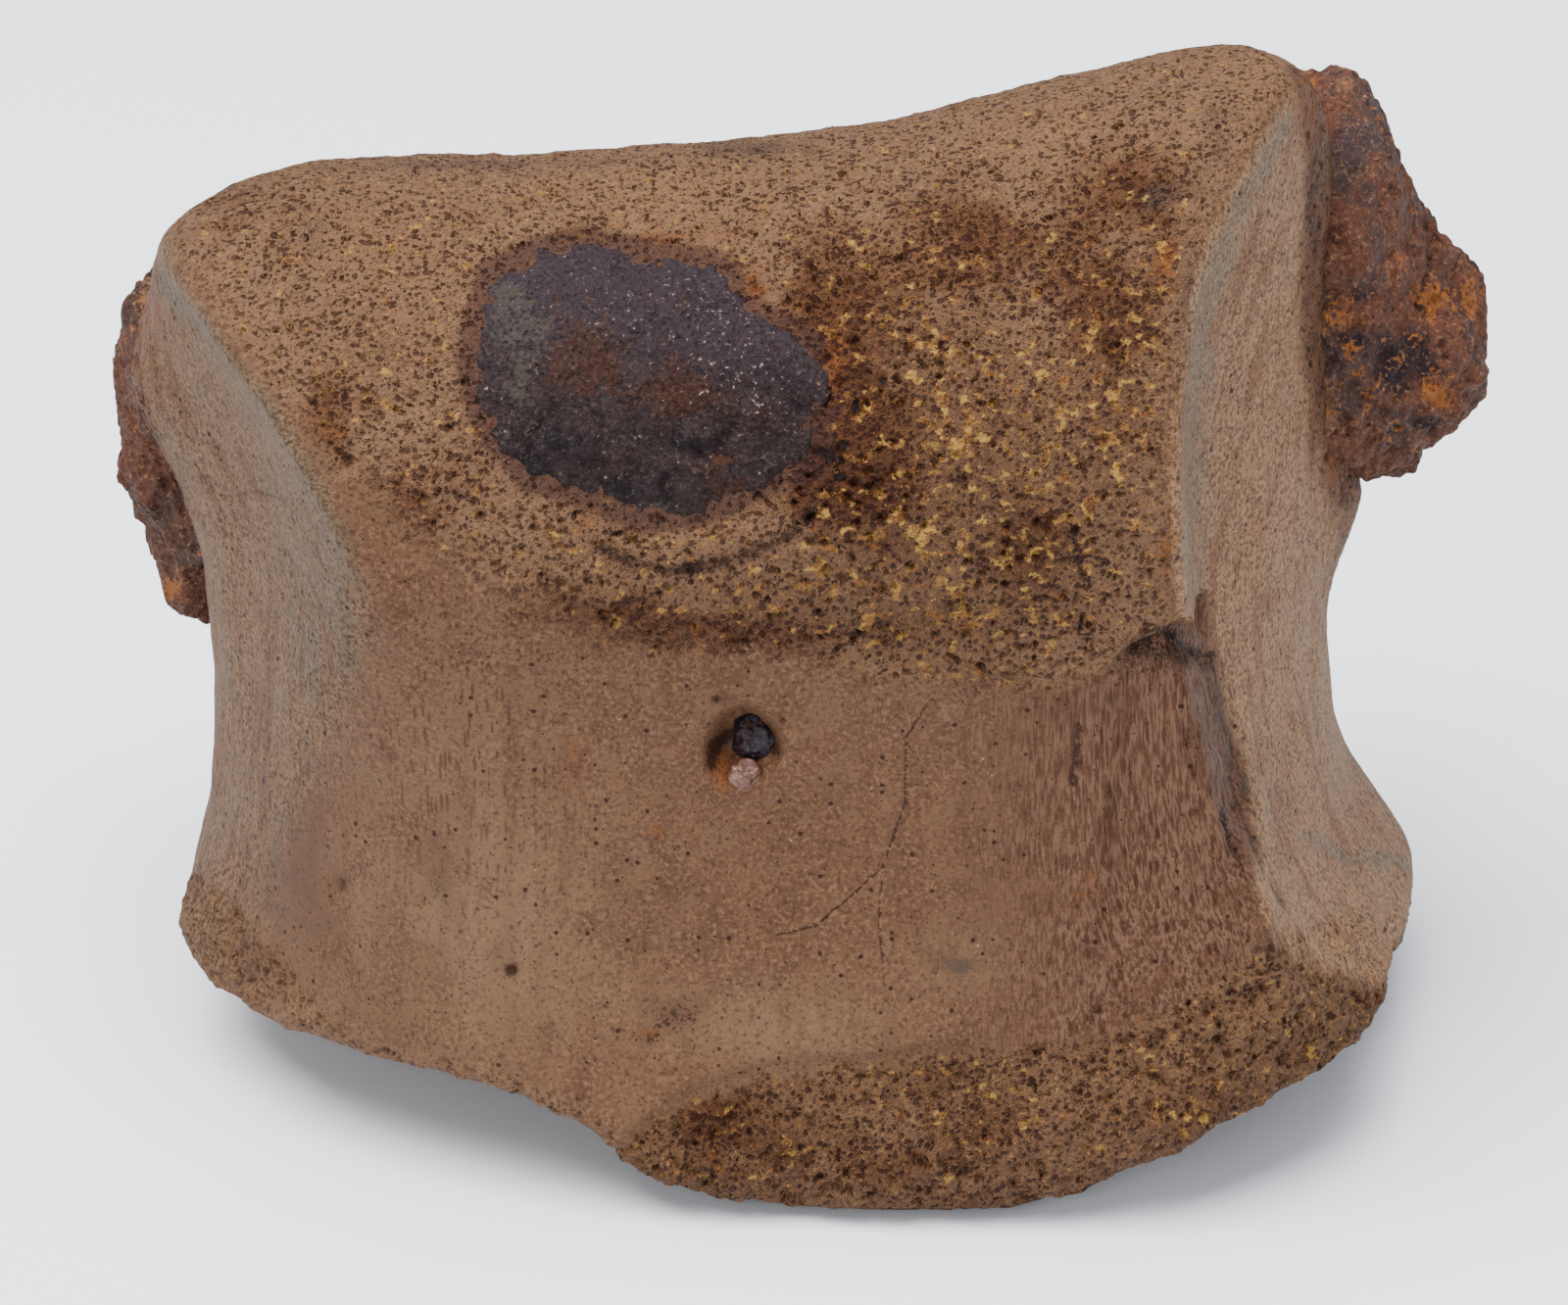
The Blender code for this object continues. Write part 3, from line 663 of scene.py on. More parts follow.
def ragged_kinds(tree, place):
    """How much of each kind of surface there is here, from 0 to 1, with ragged borders."""
    ragged = (clouds(place, 4.5, 3.0, 0.6) - 0.5) * 7.0
    fine = (clouds(place, 1.3, 2.0, 0.6, 3.0) - 0.5) * 3.0
    across, along, up = split(place)
    left = rising(reading(tree, "on_left") + fine * 0.5, 2.4, 0.2)
    right = rising(reading(tree, "on_right") + fine * 0.15, 0.9, 0.2)
    near_ledge = rising(across, 22.0, 27.0) * rising(along, -8.0, -18.0)
    joint = rising(reading(tree, "joint") + (ragged + fine) * (1.0 - near_ledge * 0.8), -3.0, 3.0)
    lip = rising(reading(tree, "lip") + ragged * 0.35 + fine * 0.7, -0.8, 0.8)
    socket = rising(reading(tree, "socket") + (ragged + fine) * 0.03, 0.05, 0.3)
    front = rising(along, -8.0, -18.0)
    rim = rising(reading(tree, "rim") + (fine + ragged) * 0.05, 0.2, 0.8)
    off_joint = rising(reading(tree, "joint") + ragged * 0.3, 1.0, -1.5)
    fibre = rising(across + ragged * 1.3 + fine, 9.0, 27.0) * off_joint * front
    fibre = fibre * (1.0 - joint * 0.8) * (1.0 - lip) * (1.0 - right)
    spongy = joint.most(lip).most(socket) * (1.0 - left * 0.75) * (1.0 - right * 0.9)
    spongy = spongy.most(rim * 0.6)
    rust = rising(reading(tree, "near_crust") + ragged * 0.08 + fine * 0.06, 1.75, 1.15)
    stained = rising(reading(tree, "patch") + (ragged + fine) * 0.22, -2.4, -0.4)
    return {"left": left, "right": right, "spongy": spongy, "lips": lip, "fibre": fibre, "rust": rust,
            "rim": rim, "stained": stained}


def wide_pores(place, crowding):
    """Larger open cells of the spongy bone, 0 on the struts and 1 in the hole."""
    bent = wander(place, 2.1, 0.5)
    near, chance = cells(bent, 1.15)
    return rising(near - (chance - 0.5) * 0.3 - crowding * 0.22, 0.3, 0.08)


def long_slots(place, size):
    """Pores drawn out into short slots along the fibres."""
    near, chance = cells(along_fibres(place), size, 15.0)
    return rising(near - (chance - 0.5) * 0.35, 0.36, 0.14)


RELIEF_DEPTHS = {
    "Pore Depth": 0.6, "Slot Depth": 0.26, "Grain Depth": 0.22, "Swell": 0.6, "Shade Depth": 0.3,
    "Pit Depth": 0.8}

relief = bpy.data.node_groups.new("fossil_bone_relief", "GeometryNodeTree")
relief.interface.new_socket("Skin", in_out="INPUT", socket_type="NodeSocketGeometry")
for label, depth in RELIEF_DEPTHS.items():
    size_socket = relief.interface.new_socket(label, in_out="INPUT", socket_type="NodeSocketFloat")
    size_socket.default_value = depth
relief.interface.new_socket("Stone", in_out="INPUT", socket_type="NodeSocketMaterial")
relief.interface.new_socket("Skin", in_out="OUTPUT", socket_type="NodeSocketGeometry")
start = relief.nodes.new("NodeGroupInput")
end = relief.nodes.new("NodeGroupOutput")
depth_of = {label: Wire(relief, start.outputs[label]) for label in RELIEF_DEPTHS}

finer = relief.nodes.new("GeometryNodeSubdivisionSurface")
finer.inputs["Level"].default_value = 1
relief.links.new(start.outputs["Skin"], finer.inputs["Mesh"])
rest = reading(relief, "rest", True)
kinds = ragged_kinds(relief, rest)
off_floor = rising(split(rest)[2], 0.2, 2.0) * rising(reading(relief, "patch"), 0.6, -0.4)
crowding = reading(relief, "deep") * 0.7 + kinds["lips"] * 0.5 + (clouds(rest, 7.0, 2.0, 0.5, 5.0) - 0.5)
pore_relief = wide_pores(rest, crowding) * kinds["spongy"].most(kinds["rust"] * 0.7)
slot_relief = long_slots(rest, 0.95) * (kinds["fibre"] + kinds["left"] * 0.25 + kinds["right"] * 0.2)
grained = kinds["fibre"] * 1.8 + kinds["left"] * 0.5 + kinds["right"] * 0.35 + 0.15
grain = (clouds(along_fibres(rest), 0.9, 3.0, 0.6, 2.0) - 0.5) * grained
roughened = kinds["spongy"] * 1.1 + kinds["lips"] * 1.5 + kinds["rim"] * 1.4 + kinds["rust"] * 1.2 + 0.2
rough = (clouds(rest, 1.5, 3.0, 0.65, 9.0) - 0.5) * roughened
swollen = kinds["lips"] * 2.2 + kinds["rim"] * 2.6 + kinds["spongy"] * 0.6 + 0.35
broad = (clouds(rest, 3.6, 2.0, 0.5, 4.0) - 0.5) * swollen
drop = pore_relief * depth_of["Pore Depth"] + slot_relief * depth_of["Slot Depth"]
drop = drop + reading(relief, "shade") * depth_of["Shade Depth"]
drop = drop + reading(relief, "pits") * depth_of["Pit Depth"]
rise = (grain + rough) * depth_of["Grain Depth"] * 2.0 + broad * depth_of["Swell"]
height = (rise - drop) * off_floor * 0.001
kinds["rear"] = rising(reading(relief, "facing"), 0.1, 0.9, 1.0, 0.0)
kinds["cloudy"] = clouds(rest, 13.0, 3.0, 0.55, 1.0)
kinds["streaks"] = clouds(along_fibres(rest) * (1.0, 1.0, 0.5), 2.4, 3.0, 0.6, 17.0)
kinds["mottled"] = clouds(rest, 3.2, 3.0, 0.6, 6.0)

kept = finer.outputs["Mesh"]
for label, value in kinds.items():
    keep = relief.nodes.new("GeometryNodeStoreNamedAttribute")
    keep.data_type, keep.domain = "FLOAT", "POINT"
    keep.inputs["Name"].default_value = label
    relief.links.new(kept, keep.inputs["Geometry"])
    relief.links.new(value.socket, keep.inputs["Value"])
    kept = keep.outputs["Geometry"]
normal = relief.nodes.new("GeometryNodeInputNormal")
offset = relief.nodes.new("ShaderNodeVectorMath")
offset.operation = "SCALE"
relief.links.new(normal.outputs[0], offset.inputs[0])
relief.links.new(height.socket, offset.inputs["Scale"])
move = relief.nodes.new("GeometryNodeSetPosition")
relief.links.new(kept, move.inputs["Geometry"])
relief.links.new(offset.outputs[0], move.inputs["Offset"])
solid = relief.nodes.new("GeometryNodeRealizeInstances")
relief.links.new(move.outputs["Geometry"], solid.inputs["Geometry"])
stone = relief.nodes.new("GeometryNodeSetMaterial")
relief.links.new(solid.outputs["Geometry"], stone.inputs["Geometry"])
relief.links.new(start.outputs["Stone"], stone.inputs["Material"])
relief.links.new(stone.outputs["Geometry"], end.inputs["Skin"])


THINNING_LEVELS = 4


def worked(made, tree, material, triangles):
    """Runs a geometry tree over the piece, thins it, the rear most, and leaves a plain smooth mesh."""
    modifier = made.modifiers.new("Relief", "NODES")
    modifier.node_group = tree
    for item in tree.interface.items_tree:
        if item.in_out == "INPUT" and item.socket_type == "NodeSocketMaterial":
            modifier[item.identifier] = material
    graph = bpy.context.evaluated_depsgraph_get()
    mesh = bpy.data.meshes.new_from_object(made.evaluated_get(graph))
    made.modifiers.clear()
    made.data = mesh
    count = sum(len(polygon.vertices) - 2 for polygon in mesh.polygons)
    if count > triangles:
        rear = made.vertex_groups.new(name="Rear")
        weights = np.empty(len(mesh.vertices), np.float32)
        mesh.attributes["rear"].data.foreach_get("value", weights)
        for level in range(1, THINNING_LEVELS + 1):
            share = level / THINNING_LEVELS
            chosen = np.flatnonzero(np.round(0.25 + 0.75 * weights, 2) > share - 0.5 / THINNING_LEVELS)
            rear.add(chosen.tolist(), share, "REPLACE")
        made.modifiers.new("Corners", "TRIANGULATE")
        thin = made.modifiers.new("Thin", "DECIMATE")
        thin.ratio = triangles / count
        thin.vertex_group = "Rear"
        thin.vertex_group_factor = 1.0
        graph = bpy.context.evaluated_depsgraph_get()
        mesh = bpy.data.meshes.new_from_object(made.evaluated_get(graph))
        made.modifiers.clear()
        made.vertex_groups.clear()
        made.data = mesh
    box_low, box_high = np.array(cad_box[0]), np.array(cad_box[1])
    points = np.empty(len(mesh.vertices) * 3, np.float32)
    mesh.vertices.foreach_get("co", points)
    points = np.clip(points.reshape(-1, 3), box_low, box_high)
    mesh.vertices.foreach_set("co", points.ravel().astype(np.float32))
    mesh.update()
    mesh.shade_smooth()
    return made


# The bone's colours.
# Iron and manganese have stained it: tan-brown on the dense outer layer, red-brown on the spongy
# parts, grey along the flanks, rust near the crusts, ochre in filled cells. Open pores, listed pits,
# the pocket under the ledge, the vessel hole's upper rim and a low crease are darkened as painted
# shade, and a painted highlight runs down the right ridge, with painted glints of tiny crystals.

def coloured(tree, colour):
    """A plain colour to lay others over."""
    node = tree.nodes.new("ShaderNodeRGB")
    node.outputs[0].default_value = colour
    return Wire(tree, node.outputs[0])


def over(under, colour, amount):
    """One colour laid over another by that amount."""
    tree = under.tree
    node = tree.nodes.new("ShaderNodeMix")
    node.data_type = "RGBA"
    if isinstance(amount, Wire):
        tree.links.new(amount.socket, node.inputs[0])
    else:
        node.inputs[0].default_value = amount
    tree.links.new(under.socket, node.inputs[6])
    if isinstance(colour, Wire):
        tree.links.new(colour.socket, node.inputs[7])
    else:
        node.inputs[7].default_value = colour
    return Wire(tree, node.outputs[2])


def finished(name, colour_of, **finish):
    """A material whose colour, roughness and height in millimetres come from colour_of(tree)."""
    material = bpy.data.materials.new(name)
    material.use_nodes = True
    tree = material.node_tree
    shader = tree.nodes["Principled BSDF"]
    colour, roughness, height = colour_of(tree)
    tree.links.new(colour.socket, shader.inputs["Base Color"])
    tree.links.new(roughness.socket, shader.inputs["Roughness"])
    raised = tree.nodes.new("ShaderNodeBump")
    raised.inputs["Strength"].default_value = 1.0
    raised.inputs["Distance"].default_value = 0.001
    tree.links.new(height.socket, raised.inputs["Height"])
    tree.links.new(raised.outputs["Normal"], shader.inputs["Normal"])
    for label, value in finish.items():
        shader.inputs[label.replace("_", " ")].default_value = value
    return material


def on_line(place, points, width):
    """1 along a broken line on the front, given as (across, up) points, falling off beside it."""
    across, along, up = split(place)
    nearest = None
    for (x0, z0), (x1, z1) in zip(points, points[1:]):
        length = math.hypot(x1 - x0, z1 - z0)
        dx, dz = (x1 - x0) / length, (z1 - z0) / length
        forward = (across - x0) * dx + (up - z0) * dz
        sideways = ((across - x0) * dz - (up - z0) * dx).joined("ABSOLUTE")
        beyond = (forward * -1.0).most(forward - length).most(0.0)
        away = sideways + beyond * 2.0
        nearest = away if nearest is None else nearest.least(away)
    return rising(nearest, width, width * 0.3) * rising(along, -10.0, -20.0)


HAIRLINE = ((11.3, 48.1), (9.2, 44.2), (9.2, 38.2), (7.3, 32.1), (1.6, 26.7), (-1.6, 26.0))
HAIRLINE_BRANCH = ((7.3, 32.1), (7.0, 27.5), (7.5, 22.2))
LONG_CRACK = ((22.7, 65.0), (23.4, 61.5), (24.4, 58.5))
SHORT_CRACK = ((23.6, 46.0), (23.2, 40.2))


def fossil_bone(tree):
    place = reading(tree, "rest", True)
    get = {label: reading(tree, label) for label in (
        "left", "right", "spongy", "lips", "fibre", "rust", "cloudy", "mottled", "ochre", "deep", "pale",
        "greyed_and_shade", "shade", "rusty", "slotted", "pits", "streaks", "stained", "rim")}
    spongy, deep, mottled = get["spongy"], get["deep"], get["mottled"]
    flank = get["left"].most(get["right"])
    grit = tree.nodes.new("ShaderNodeTexNoise")
    grit.inputs["Scale"].default_value = 1.0
    grit.inputs["Detail"].default_value = 2.0
    grit.inputs["Roughness"].default_value = 0.7
    tree.links.new((place * 2.6).socket, grit.inputs["Vector"])
    speckle = Wire(tree, grit.outputs["Fac"])
    ragged = (speckle - 0.5) * 2.4 + (mottled - 0.5) * 1.4
    bent = place + gather(speckle, speckle * -0.9, speckle * 0.9) * 0.8
    strands = clouds(along_fibres(place) * (1.0, 1.0, 0.6), 0.2, 2.0, 0.6, 2.0)

    # The 'pale' readings lighten the ground colour; down the right ridge they are a painted highlight.
    colour = over(coloured(tree, linear(81, 55, 38)), linear(99, 75, 55), get["pale"])
    colour = over(colour, linear(68, 43, 28), rising(get["cloudy"], 0.5, 0.7) * 0.5)
    streaked = rising(get["streaks"] + (speckle - 0.5) * 0.4, 0.5, 0.64)
    colour = over(colour, linear(68, 44, 29), streaked * 0.45)
    colour = over(colour, linear(95, 71, 51), rising(mottled, 0.52, 0.7) * 0.5)
    colour = over(colour, linear(68, 44, 31), rising(mottled, 0.46, 0.3) * 0.5)
    colour = over(colour, linear(114, 85, 61), rising(speckle, 0.5, 0.68) * 0.65)
    colour = over(colour, linear(51, 26, 10), rising(speckle, 0.47, 0.3) * 0.7)

    deepened = rising(deep + (mottled - 0.5) * 1.3, 0.05, 0.75)
    brown = over(coloured(tree, linear(102, 75, 55)), linear(67, 38, 20), deepened)
    brown = over(brown, linear(54, 28, 9), (get["ochre"] * 0.75 + get["lips"] * 0.36).least(0.8))
    paled = (get["pale"] * 0.8 + rising(mottled, 0.52, 0.7) * 0.25).least(1.0)
    brown = over(brown, linear(109, 80, 56), paled)
    struts = rising(speckle, 0.56, 0.7) * (0.8 - deep * 0.5 - get["ochre"] * 0.3)
    brown = over(brown, linear(137, 100, 60), struts)
    brown = over(brown, linear(44, 14, 1), rising(speckle, 0.48, 0.32) * 0.75)
    colour = over(colour, brown, spongy)

    fine_near, fine_chance = cells(bent, 0.54)
    holed = spongy.most(get["rust"] * 0.8).most(flank * 0.55)
    crowded = deep * 0.14 + (mottled - 0.5) * 0.3 - flank * (1.0 - get["rust"]) * 0.1
    fine_holes = rising(fine_near - (fine_chance - 0.5) * 0.55 - crowded, 0.32, 0.1) * holed
    sparse_near, sparse_chance = cells(place, 0.86, 11.0)
    large = rising(sparse_chance, 0.82, 1.0)
    sparse = rising(sparse_near - large * 0.15, 0.17, 0.06) * rising(sparse_chance, 0.05, 0.25)
    sparse = sparse * (1.0 - spongy)
    slotted = get["fibre"] * 0.6 + flank * 0.3 + get["slotted"] * 0.6 * (1.0 - spongy)
    slots = long_slots(place, 0.42) * slotted.least(0.8)

    fibre = over(coloured(tree, linear(97, 70, 53)), linear(64, 39, 25), rising(strands, 0.6, 0.4))
    fibre = over(fibre, linear(65, 39, 25), rising(mottled, 0.5, 0.66) * 0.5)
    colour = over(colour, fibre, get["fibre"] * 0.9)

    grain = rising(strands * 0.25 + speckle * 0.95, 0.5, 0.66)
    streaks = get["streaks"]
    # On the flanks the same reading greys the surface and darkens the low crease as painted shade.
    grey_stain_and_shade = rising(get["greyed_and_shade"] + (streaks - 0.5) * 2.2 + ragged * 0.4, 0.05, 0.85)
    for side, dark, tan, grey, bright, warm in (
            ("left", linear(59, 38, 24), linear(109, 83, 60), linear(89, 78, 62),
             linear(140, 112, 79), linear(94, 67, 46)),
            ("right", linear(78, 53, 35), linear(141, 108, 79), linear(114, 101, 82),
             linear(170, 139, 100), linear(122, 87, 60))):
        bare = over(over(coloured(tree, tan), warm, rising(streaks, 0.5, 0.36)), grey, grey_stain_and_shade * 0.85)
        bare = over(bare, dark, (1.0 - grain) * 0.75)
        colour = over(colour, over(bare, bright, rising(speckle, 0.6, 0.74) * 0.6), get[side])

    # Grey off the flanks; under the ledge this is painted shade.
    grey = get["greyed_and_shade"] * (1.0 - flank)
    colour = over(colour, linear(53, 44, 38), rising(grey + ragged, 0.3, 0.75) * 0.75)

    filling = clouds(bent * (0.85, 1.0, 1.0), 0.95, 1.0, 0.5, 21.0) + get["ochre"] * 0.16
    filling = filling + (mottled - 0.5) * 0.3
    filled = rising(filling, 0.66, 0.73) * (spongy * 0.9 + get["ochre"] * 0.35).least(1.0)
    filled = filled * (1.0 - get["rim"] * 0.7)
    ochre = over(coloured(tree, linear(115, 81, 40)), linear(98, 58, 25), rising(fine_chance, 0.55, 0.85))
    ochre = over(ochre, linear(154, 120, 57), rising(fine_chance, 0.4, 0.15) * 0.8)
    colour = over(colour, ochre, filled * 0.85)

    rusted = rising(mottled + (speckle - 0.5) * 0.8, 0.44, 0.6)
    rust = over(coloured(tree, linear(84, 55, 36)), linear(49, 27, 19), rusted)
    rust = over(rust, linear(106, 68, 40), rising(speckle, 0.55, 0.7) * 0.6)
    colour = over(colour, rust, get["rust"] * 0.85)
    colour = over(colour, linear(49, 28, 26), rising(get["stained"] + ragged * 0.5, 0.3, 0.9) * 0.7)
    # Painted shade: open pores that hold no ochre are darkened nearly to black, for the shade inside them.
    colour = over(colour, linear(31, 1, 1), fine_holes * 0.7 * (1.0 - filled))
    colour = over(colour, linear(104, 58, 23), rising(get["rusty"] + ragged, 0.3, 0.8) * 0.75)

    colour = over(colour, linear(27, 1, 1), sparse * 0.85)
    colour = over(colour, linear(38, 11, 1), slots)
    # Painted shade: the listed pits are darkened nearly to black.
    colour = over(colour, linear(32, 6, 1), rising(get["pits"] + ragged * 0.4, 0.4, 0.75) * 0.8)
    # Painted shade: the 'shade' readings darken the recess under the ledge and the vessel hole's upper rim
    # nearly to black, along with dark lines and cracks.
    colour = over(colour, linear(16, 1, 1), rising(get["shade"] + ragged * 0.9, 0.35, 0.8) * 0.8)
    hairlines = on_line(bent, HAIRLINE, 0.15).most(on_line(bent, HAIRLINE_BRANCH, 0.13))
    wide_cracks = on_line(bent, LONG_CRACK, 0.6).most(on_line(bent, SHORT_CRACK, 0.5))
    cracks = (hairlines * rising(speckle, 0.66, 0.5)).most(wide_cracks * rising(speckle, 0.62, 0.5))
    colour = over(colour, linear(21, 1, 1), cracks * 0.75)
    # Painted glints: the rarest specks are made pale yellow, for the sparkle of tiny crystals.
    colour = over(colour, linear(238, 196, 117), rising(speckle, 0.76, 0.8) * 0.8)

    roughness = (speckle - 0.5) * 0.3 + spongy * 0.1 + 0.62
    gritty = spongy * 0.5 + flank * 0.3 + get["fibre"] * 0.15 + 0.16
    height = (speckle - 0.5) * gritty - fine_holes * 0.45
    return colour, roughness, height


BONE_TRIANGLES = 196000

bone_stone = finished("fossil_bone", fossil_bone, Specular_IOR_Level=0.12)
phalanx_skin = mesh_object("phalanx_skin", skin, skin_faces, skin_readings)
worked(phalanx_skin, relief, bone_stone, BONE_TRIANGLES)
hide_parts("phalanx")
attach(phalanx_skin, "root")


# The dark patch.
# A plate of iron and manganese stone grown over the roller's front, purple-grey to nearly black,
# with rust in its middle and pale painted glints. It stands half a millimetre proud, and its ragged
# edge dips under the skin.

PATCH_RINGS = 118
PATCH_SECTORS = 400
PATCH_REACH = 1.3
PATCH_DEPTH = 2.4


def patch_places(spread, turn):
    """Where rays through the patch start, on the roller's axis, and which way they go."""
    edge = patch_outline(turn)
    across = PATCH_MIDDLE_X + PATCH_HALF_WIDTH * spread * edge * np.cos(turn)
    lift = np.radians(PATCH_LIFT + PATCH_HALF_LIFT * spread * edge * np.sin(turn))
    start = np.stack((across, np.full_like(across, ROLLER_Y), roller_height(across)), axis=1)
    return start, np.stack((np.zeros_like(across), -np.cos(lift), np.sin(lift)), axis=1)


ring = np.arange(1, PATCH_RINGS + 1) / PATCH_RINGS * PATCH_REACH
spread = np.concatenate(([0.0], np.repeat(ring, PATCH_SECTORS)))
turn = np.concatenate(([0.0], np.tile(np.arange(PATCH_SECTORS) * 2 * math.pi / PATCH_SECTORS, PATCH_RINGS)))
start, way = patch_places(spread, turn)
reach = distance_out(bone_form, start, way, 45.0)
edge_place = start + way * reach[:, None]
across, down = edge_seen = seen_from_front(edge_place)
inward = into_patch(edge_seen)
inward += 0.9 * lumps(edge_place, 3.2, 11) + 0.6 * lumps(edge_place, 1.3, 12)
inside = 0.6 * ease(inward, -0.4, 0.5) + 0.4 * ease(inward, 0.0, 3.5)
crags = 0.3 * lumps(edge_place, 5.0, 13) + 0.3 * lumps(edge_place, 2.0, 14)
crags += 0.16 * lumps(edge_place, 0.9, 15)
for at_across, at_down in ((605, 462), (716, 452)):
    blister = np.exp(-(((across - at_across) / 15) ** 2) - ((down - at_down + 5) / 12) ** 2)
    dent = np.exp(-(((across - at_across) / 17) ** 2) - ((down - at_down - 11) / 6) ** 2)
    crags += 0.9 * blister - 0.6 * dent
top = edge_place + way * (inside * (1.15 + np.maximum(crags, -0.42)) - 0.65)[:, None]
under = start + way * (reach - PATCH_DEPTH)[:, None]
count = len(top)
patch_faces = []
for side, flip in ((0, False), (count, True)):
    for j in range(PATCH_SECTORS):
        k = (j + 1) % PATCH_SECTORS
        fan = [side, side + 1 + j, side + 1 + k]
        patch_faces.append(fan[::-1] if flip else fan)
        for i in range(PATCH_RINGS - 1):
            a, b = side + 1 + i * PATCH_SECTORS, side + 1 + (i + 1) * PATCH_SECTORS
            quad = [a + j, b + j, b + k, a + k]
            patch_faces.append(quad[::-1] if flip else quad)
last = 1 + (PATCH_RINGS - 1) * PATCH_SECTORS
for j in range(PATCH_SECTORS):
    k = (j + 1) % PATCH_SECTORS
    patch_faces.append([last + j, count + last + j, count + last + k, last + k])
# Stains of the patch, and where its painted glints gather.
PATCH_STAINS_AND_GLINTS = {
    "green": ((515, 310, 30, 40, 0.6), (545, 345, 30, 30, 0.6), (530, 395, 22, 40, 0.6),
              (510, 460, 24, 30, 0.4), (560, 500, 30, 14, 0.4), (660, 520, 50, 12, 0.5),
              (790, 470, 30, 16, 0.4), (620, 340, 30, 20, 0.25)),
    "red": ((590, 370, 50, 40, 0.9), (690, 400, 50, 35, 0.8), (560, 310, 30, 20, 0.4),
            (770, 430, 40, 30, 0.4), (740, 495, 40, 16, 0.7), (620, 470, 30, 16, 0.5)),
    "black": ((570, 455, 50, 30, 0.7), (640, 500, 50, 18, 0.7), (730, 440, 50, 20, 0.5),
              (800, 400, 30, 40, 0.4), (540, 480, 30, 12, 0.5), (700, 455, 20, 12, 0.6)),
    "orange": ((735, 470, 16, 8, 0.8), (790, 500, 20, 10, 0.8), (690, 530, 40, 8, 0.6),
               (835, 420, 8, 40, 0.7), (780, 318, 20, 10, 0.6), (715, 478, 12, 6, 0.6)),
    "glint": ((760, 390, 60, 50, 1.0), (740, 310, 60, 40, 0.8), (620, 300, 80, 40, 0.5))}
patch_stains_and_glints = {label: np.tile(soft_spots(edge_seen, *spots), 2) for label, spots in PATCH_STAINS_AND_GLINTS.items()}


def dark_ironstone(tree):
    place = reading(tree, "rest", True)
    up = split(place)[2]
    medium = clouds(place, 2.0, 3.0, 0.65, 6.0)
    speckle = clouds(place, 0.4, 2.0, 0.7, 2.0)
    ragged = (medium - 0.5) * 2.2 + (speckle - 0.5) * 1.4
    colour = over(coloured(tree, linear(32, 20, 21)), linear(18, 4, 4), rising(medium, 0.42, 0.62))
    colour = over(colour, linear(40, 31, 37), rising(up + (medium - 0.5) * 12.0, 72.0, 79.0) * 0.7)
    for label, tint, most in (
            ("red", linear(44, 19, 8), 0.85), ("black", linear(6, 1, 6), 0.85),
            ("green", linear(56, 52, 45), 0.6), ("orange", linear(66, 38, 18), 0.8)):
        colour = over(colour, tint, rising(reading(tree, label) + ragged, 0.3, 0.8) * most)
    colour = over(colour, linear(61, 51, 46), rising(speckle, 0.52, 0.7) * 0.5)
    colour = over(colour, linear(1, 1, 1), rising(speckle, 0.46, 0.32) * 0.75)
    # Painted glints: pale specks standing in for sparkle, most where the 'glint' reading is high.
    glints = rising(speckle + reading(tree, "glint") * 0.08, 0.7, 0.76)
    colour = over(colour, linear(137, 116, 117), glints * 0.8)
    roughness = (medium - 0.5) * 0.4 + 0.6
    height = (speckle - 0.5) * 0.3 + (medium - 0.5) * 0.4
    return colour, roughness, height


patch_skin = mesh_object(
    "ironstone_patch_skin", np.concatenate((top, under)), patch_faces, patch_stains_and_glints)
patch_skin.data.materials.append(finished("dark_ironstone", dark_ironstone, Specular_IOR_Level=0.12))
patch_skin.data.shade_smooth()
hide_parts("ironstone_patch")
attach(patch_skin, "root")


# The ironstone crusts.
# Craggy lumps of rusty concretion, still fast on both flanks where the rock was not cut away. They
# are iron-cemented sand, dark red-brown and purple-grey with orange spots, and grow into the bone.

CRUST_CELLS = 110
CRUST_SHRINK = 0.955
CRUST_CLEARANCE = 0.02


def crust_skin(blobs, middle, seed):
    """A craggy lump: the union of soft blobs, seen from its middle, roughened at five sizes."""
    def field(p):
        total = 0.0
        for centre, radii in blobs:
            total = total + np.exp(2 - 2 * np.linalg.norm((p - centre) / radii, axis=1))
        return 1 - total

    crust_way, faces = star_directions(CRUST_CELLS, (10, 11, 14))
    points = np.array(middle) + crust_way * distance_out(field, np.array(middle), crust_way, 40)[:, None]
    rough = 1.6 * lumps(points, 8.0, seed) + 0.8 * lumps(points, 3.2, seed + 1)
    points = points + crust_way * rough[:, None]
    crag = 0.7 * lumps(points, 2.1, seed + 2) + 0.5 * lumps(points, 1.0, seed + 3)
    crag -= 0.5 * np.abs(lumps(points, 1.4, seed + 4))
    points = middle + (points + crust_way * crag[:, None] - middle) * CRUST_SHRINK
    widest = np.array(cad_box[1]) * 1000.0 - CRUST_CLEARANCE
    return np.clip(points, -widest - ORIGIN, widest - ORIGIN), faces


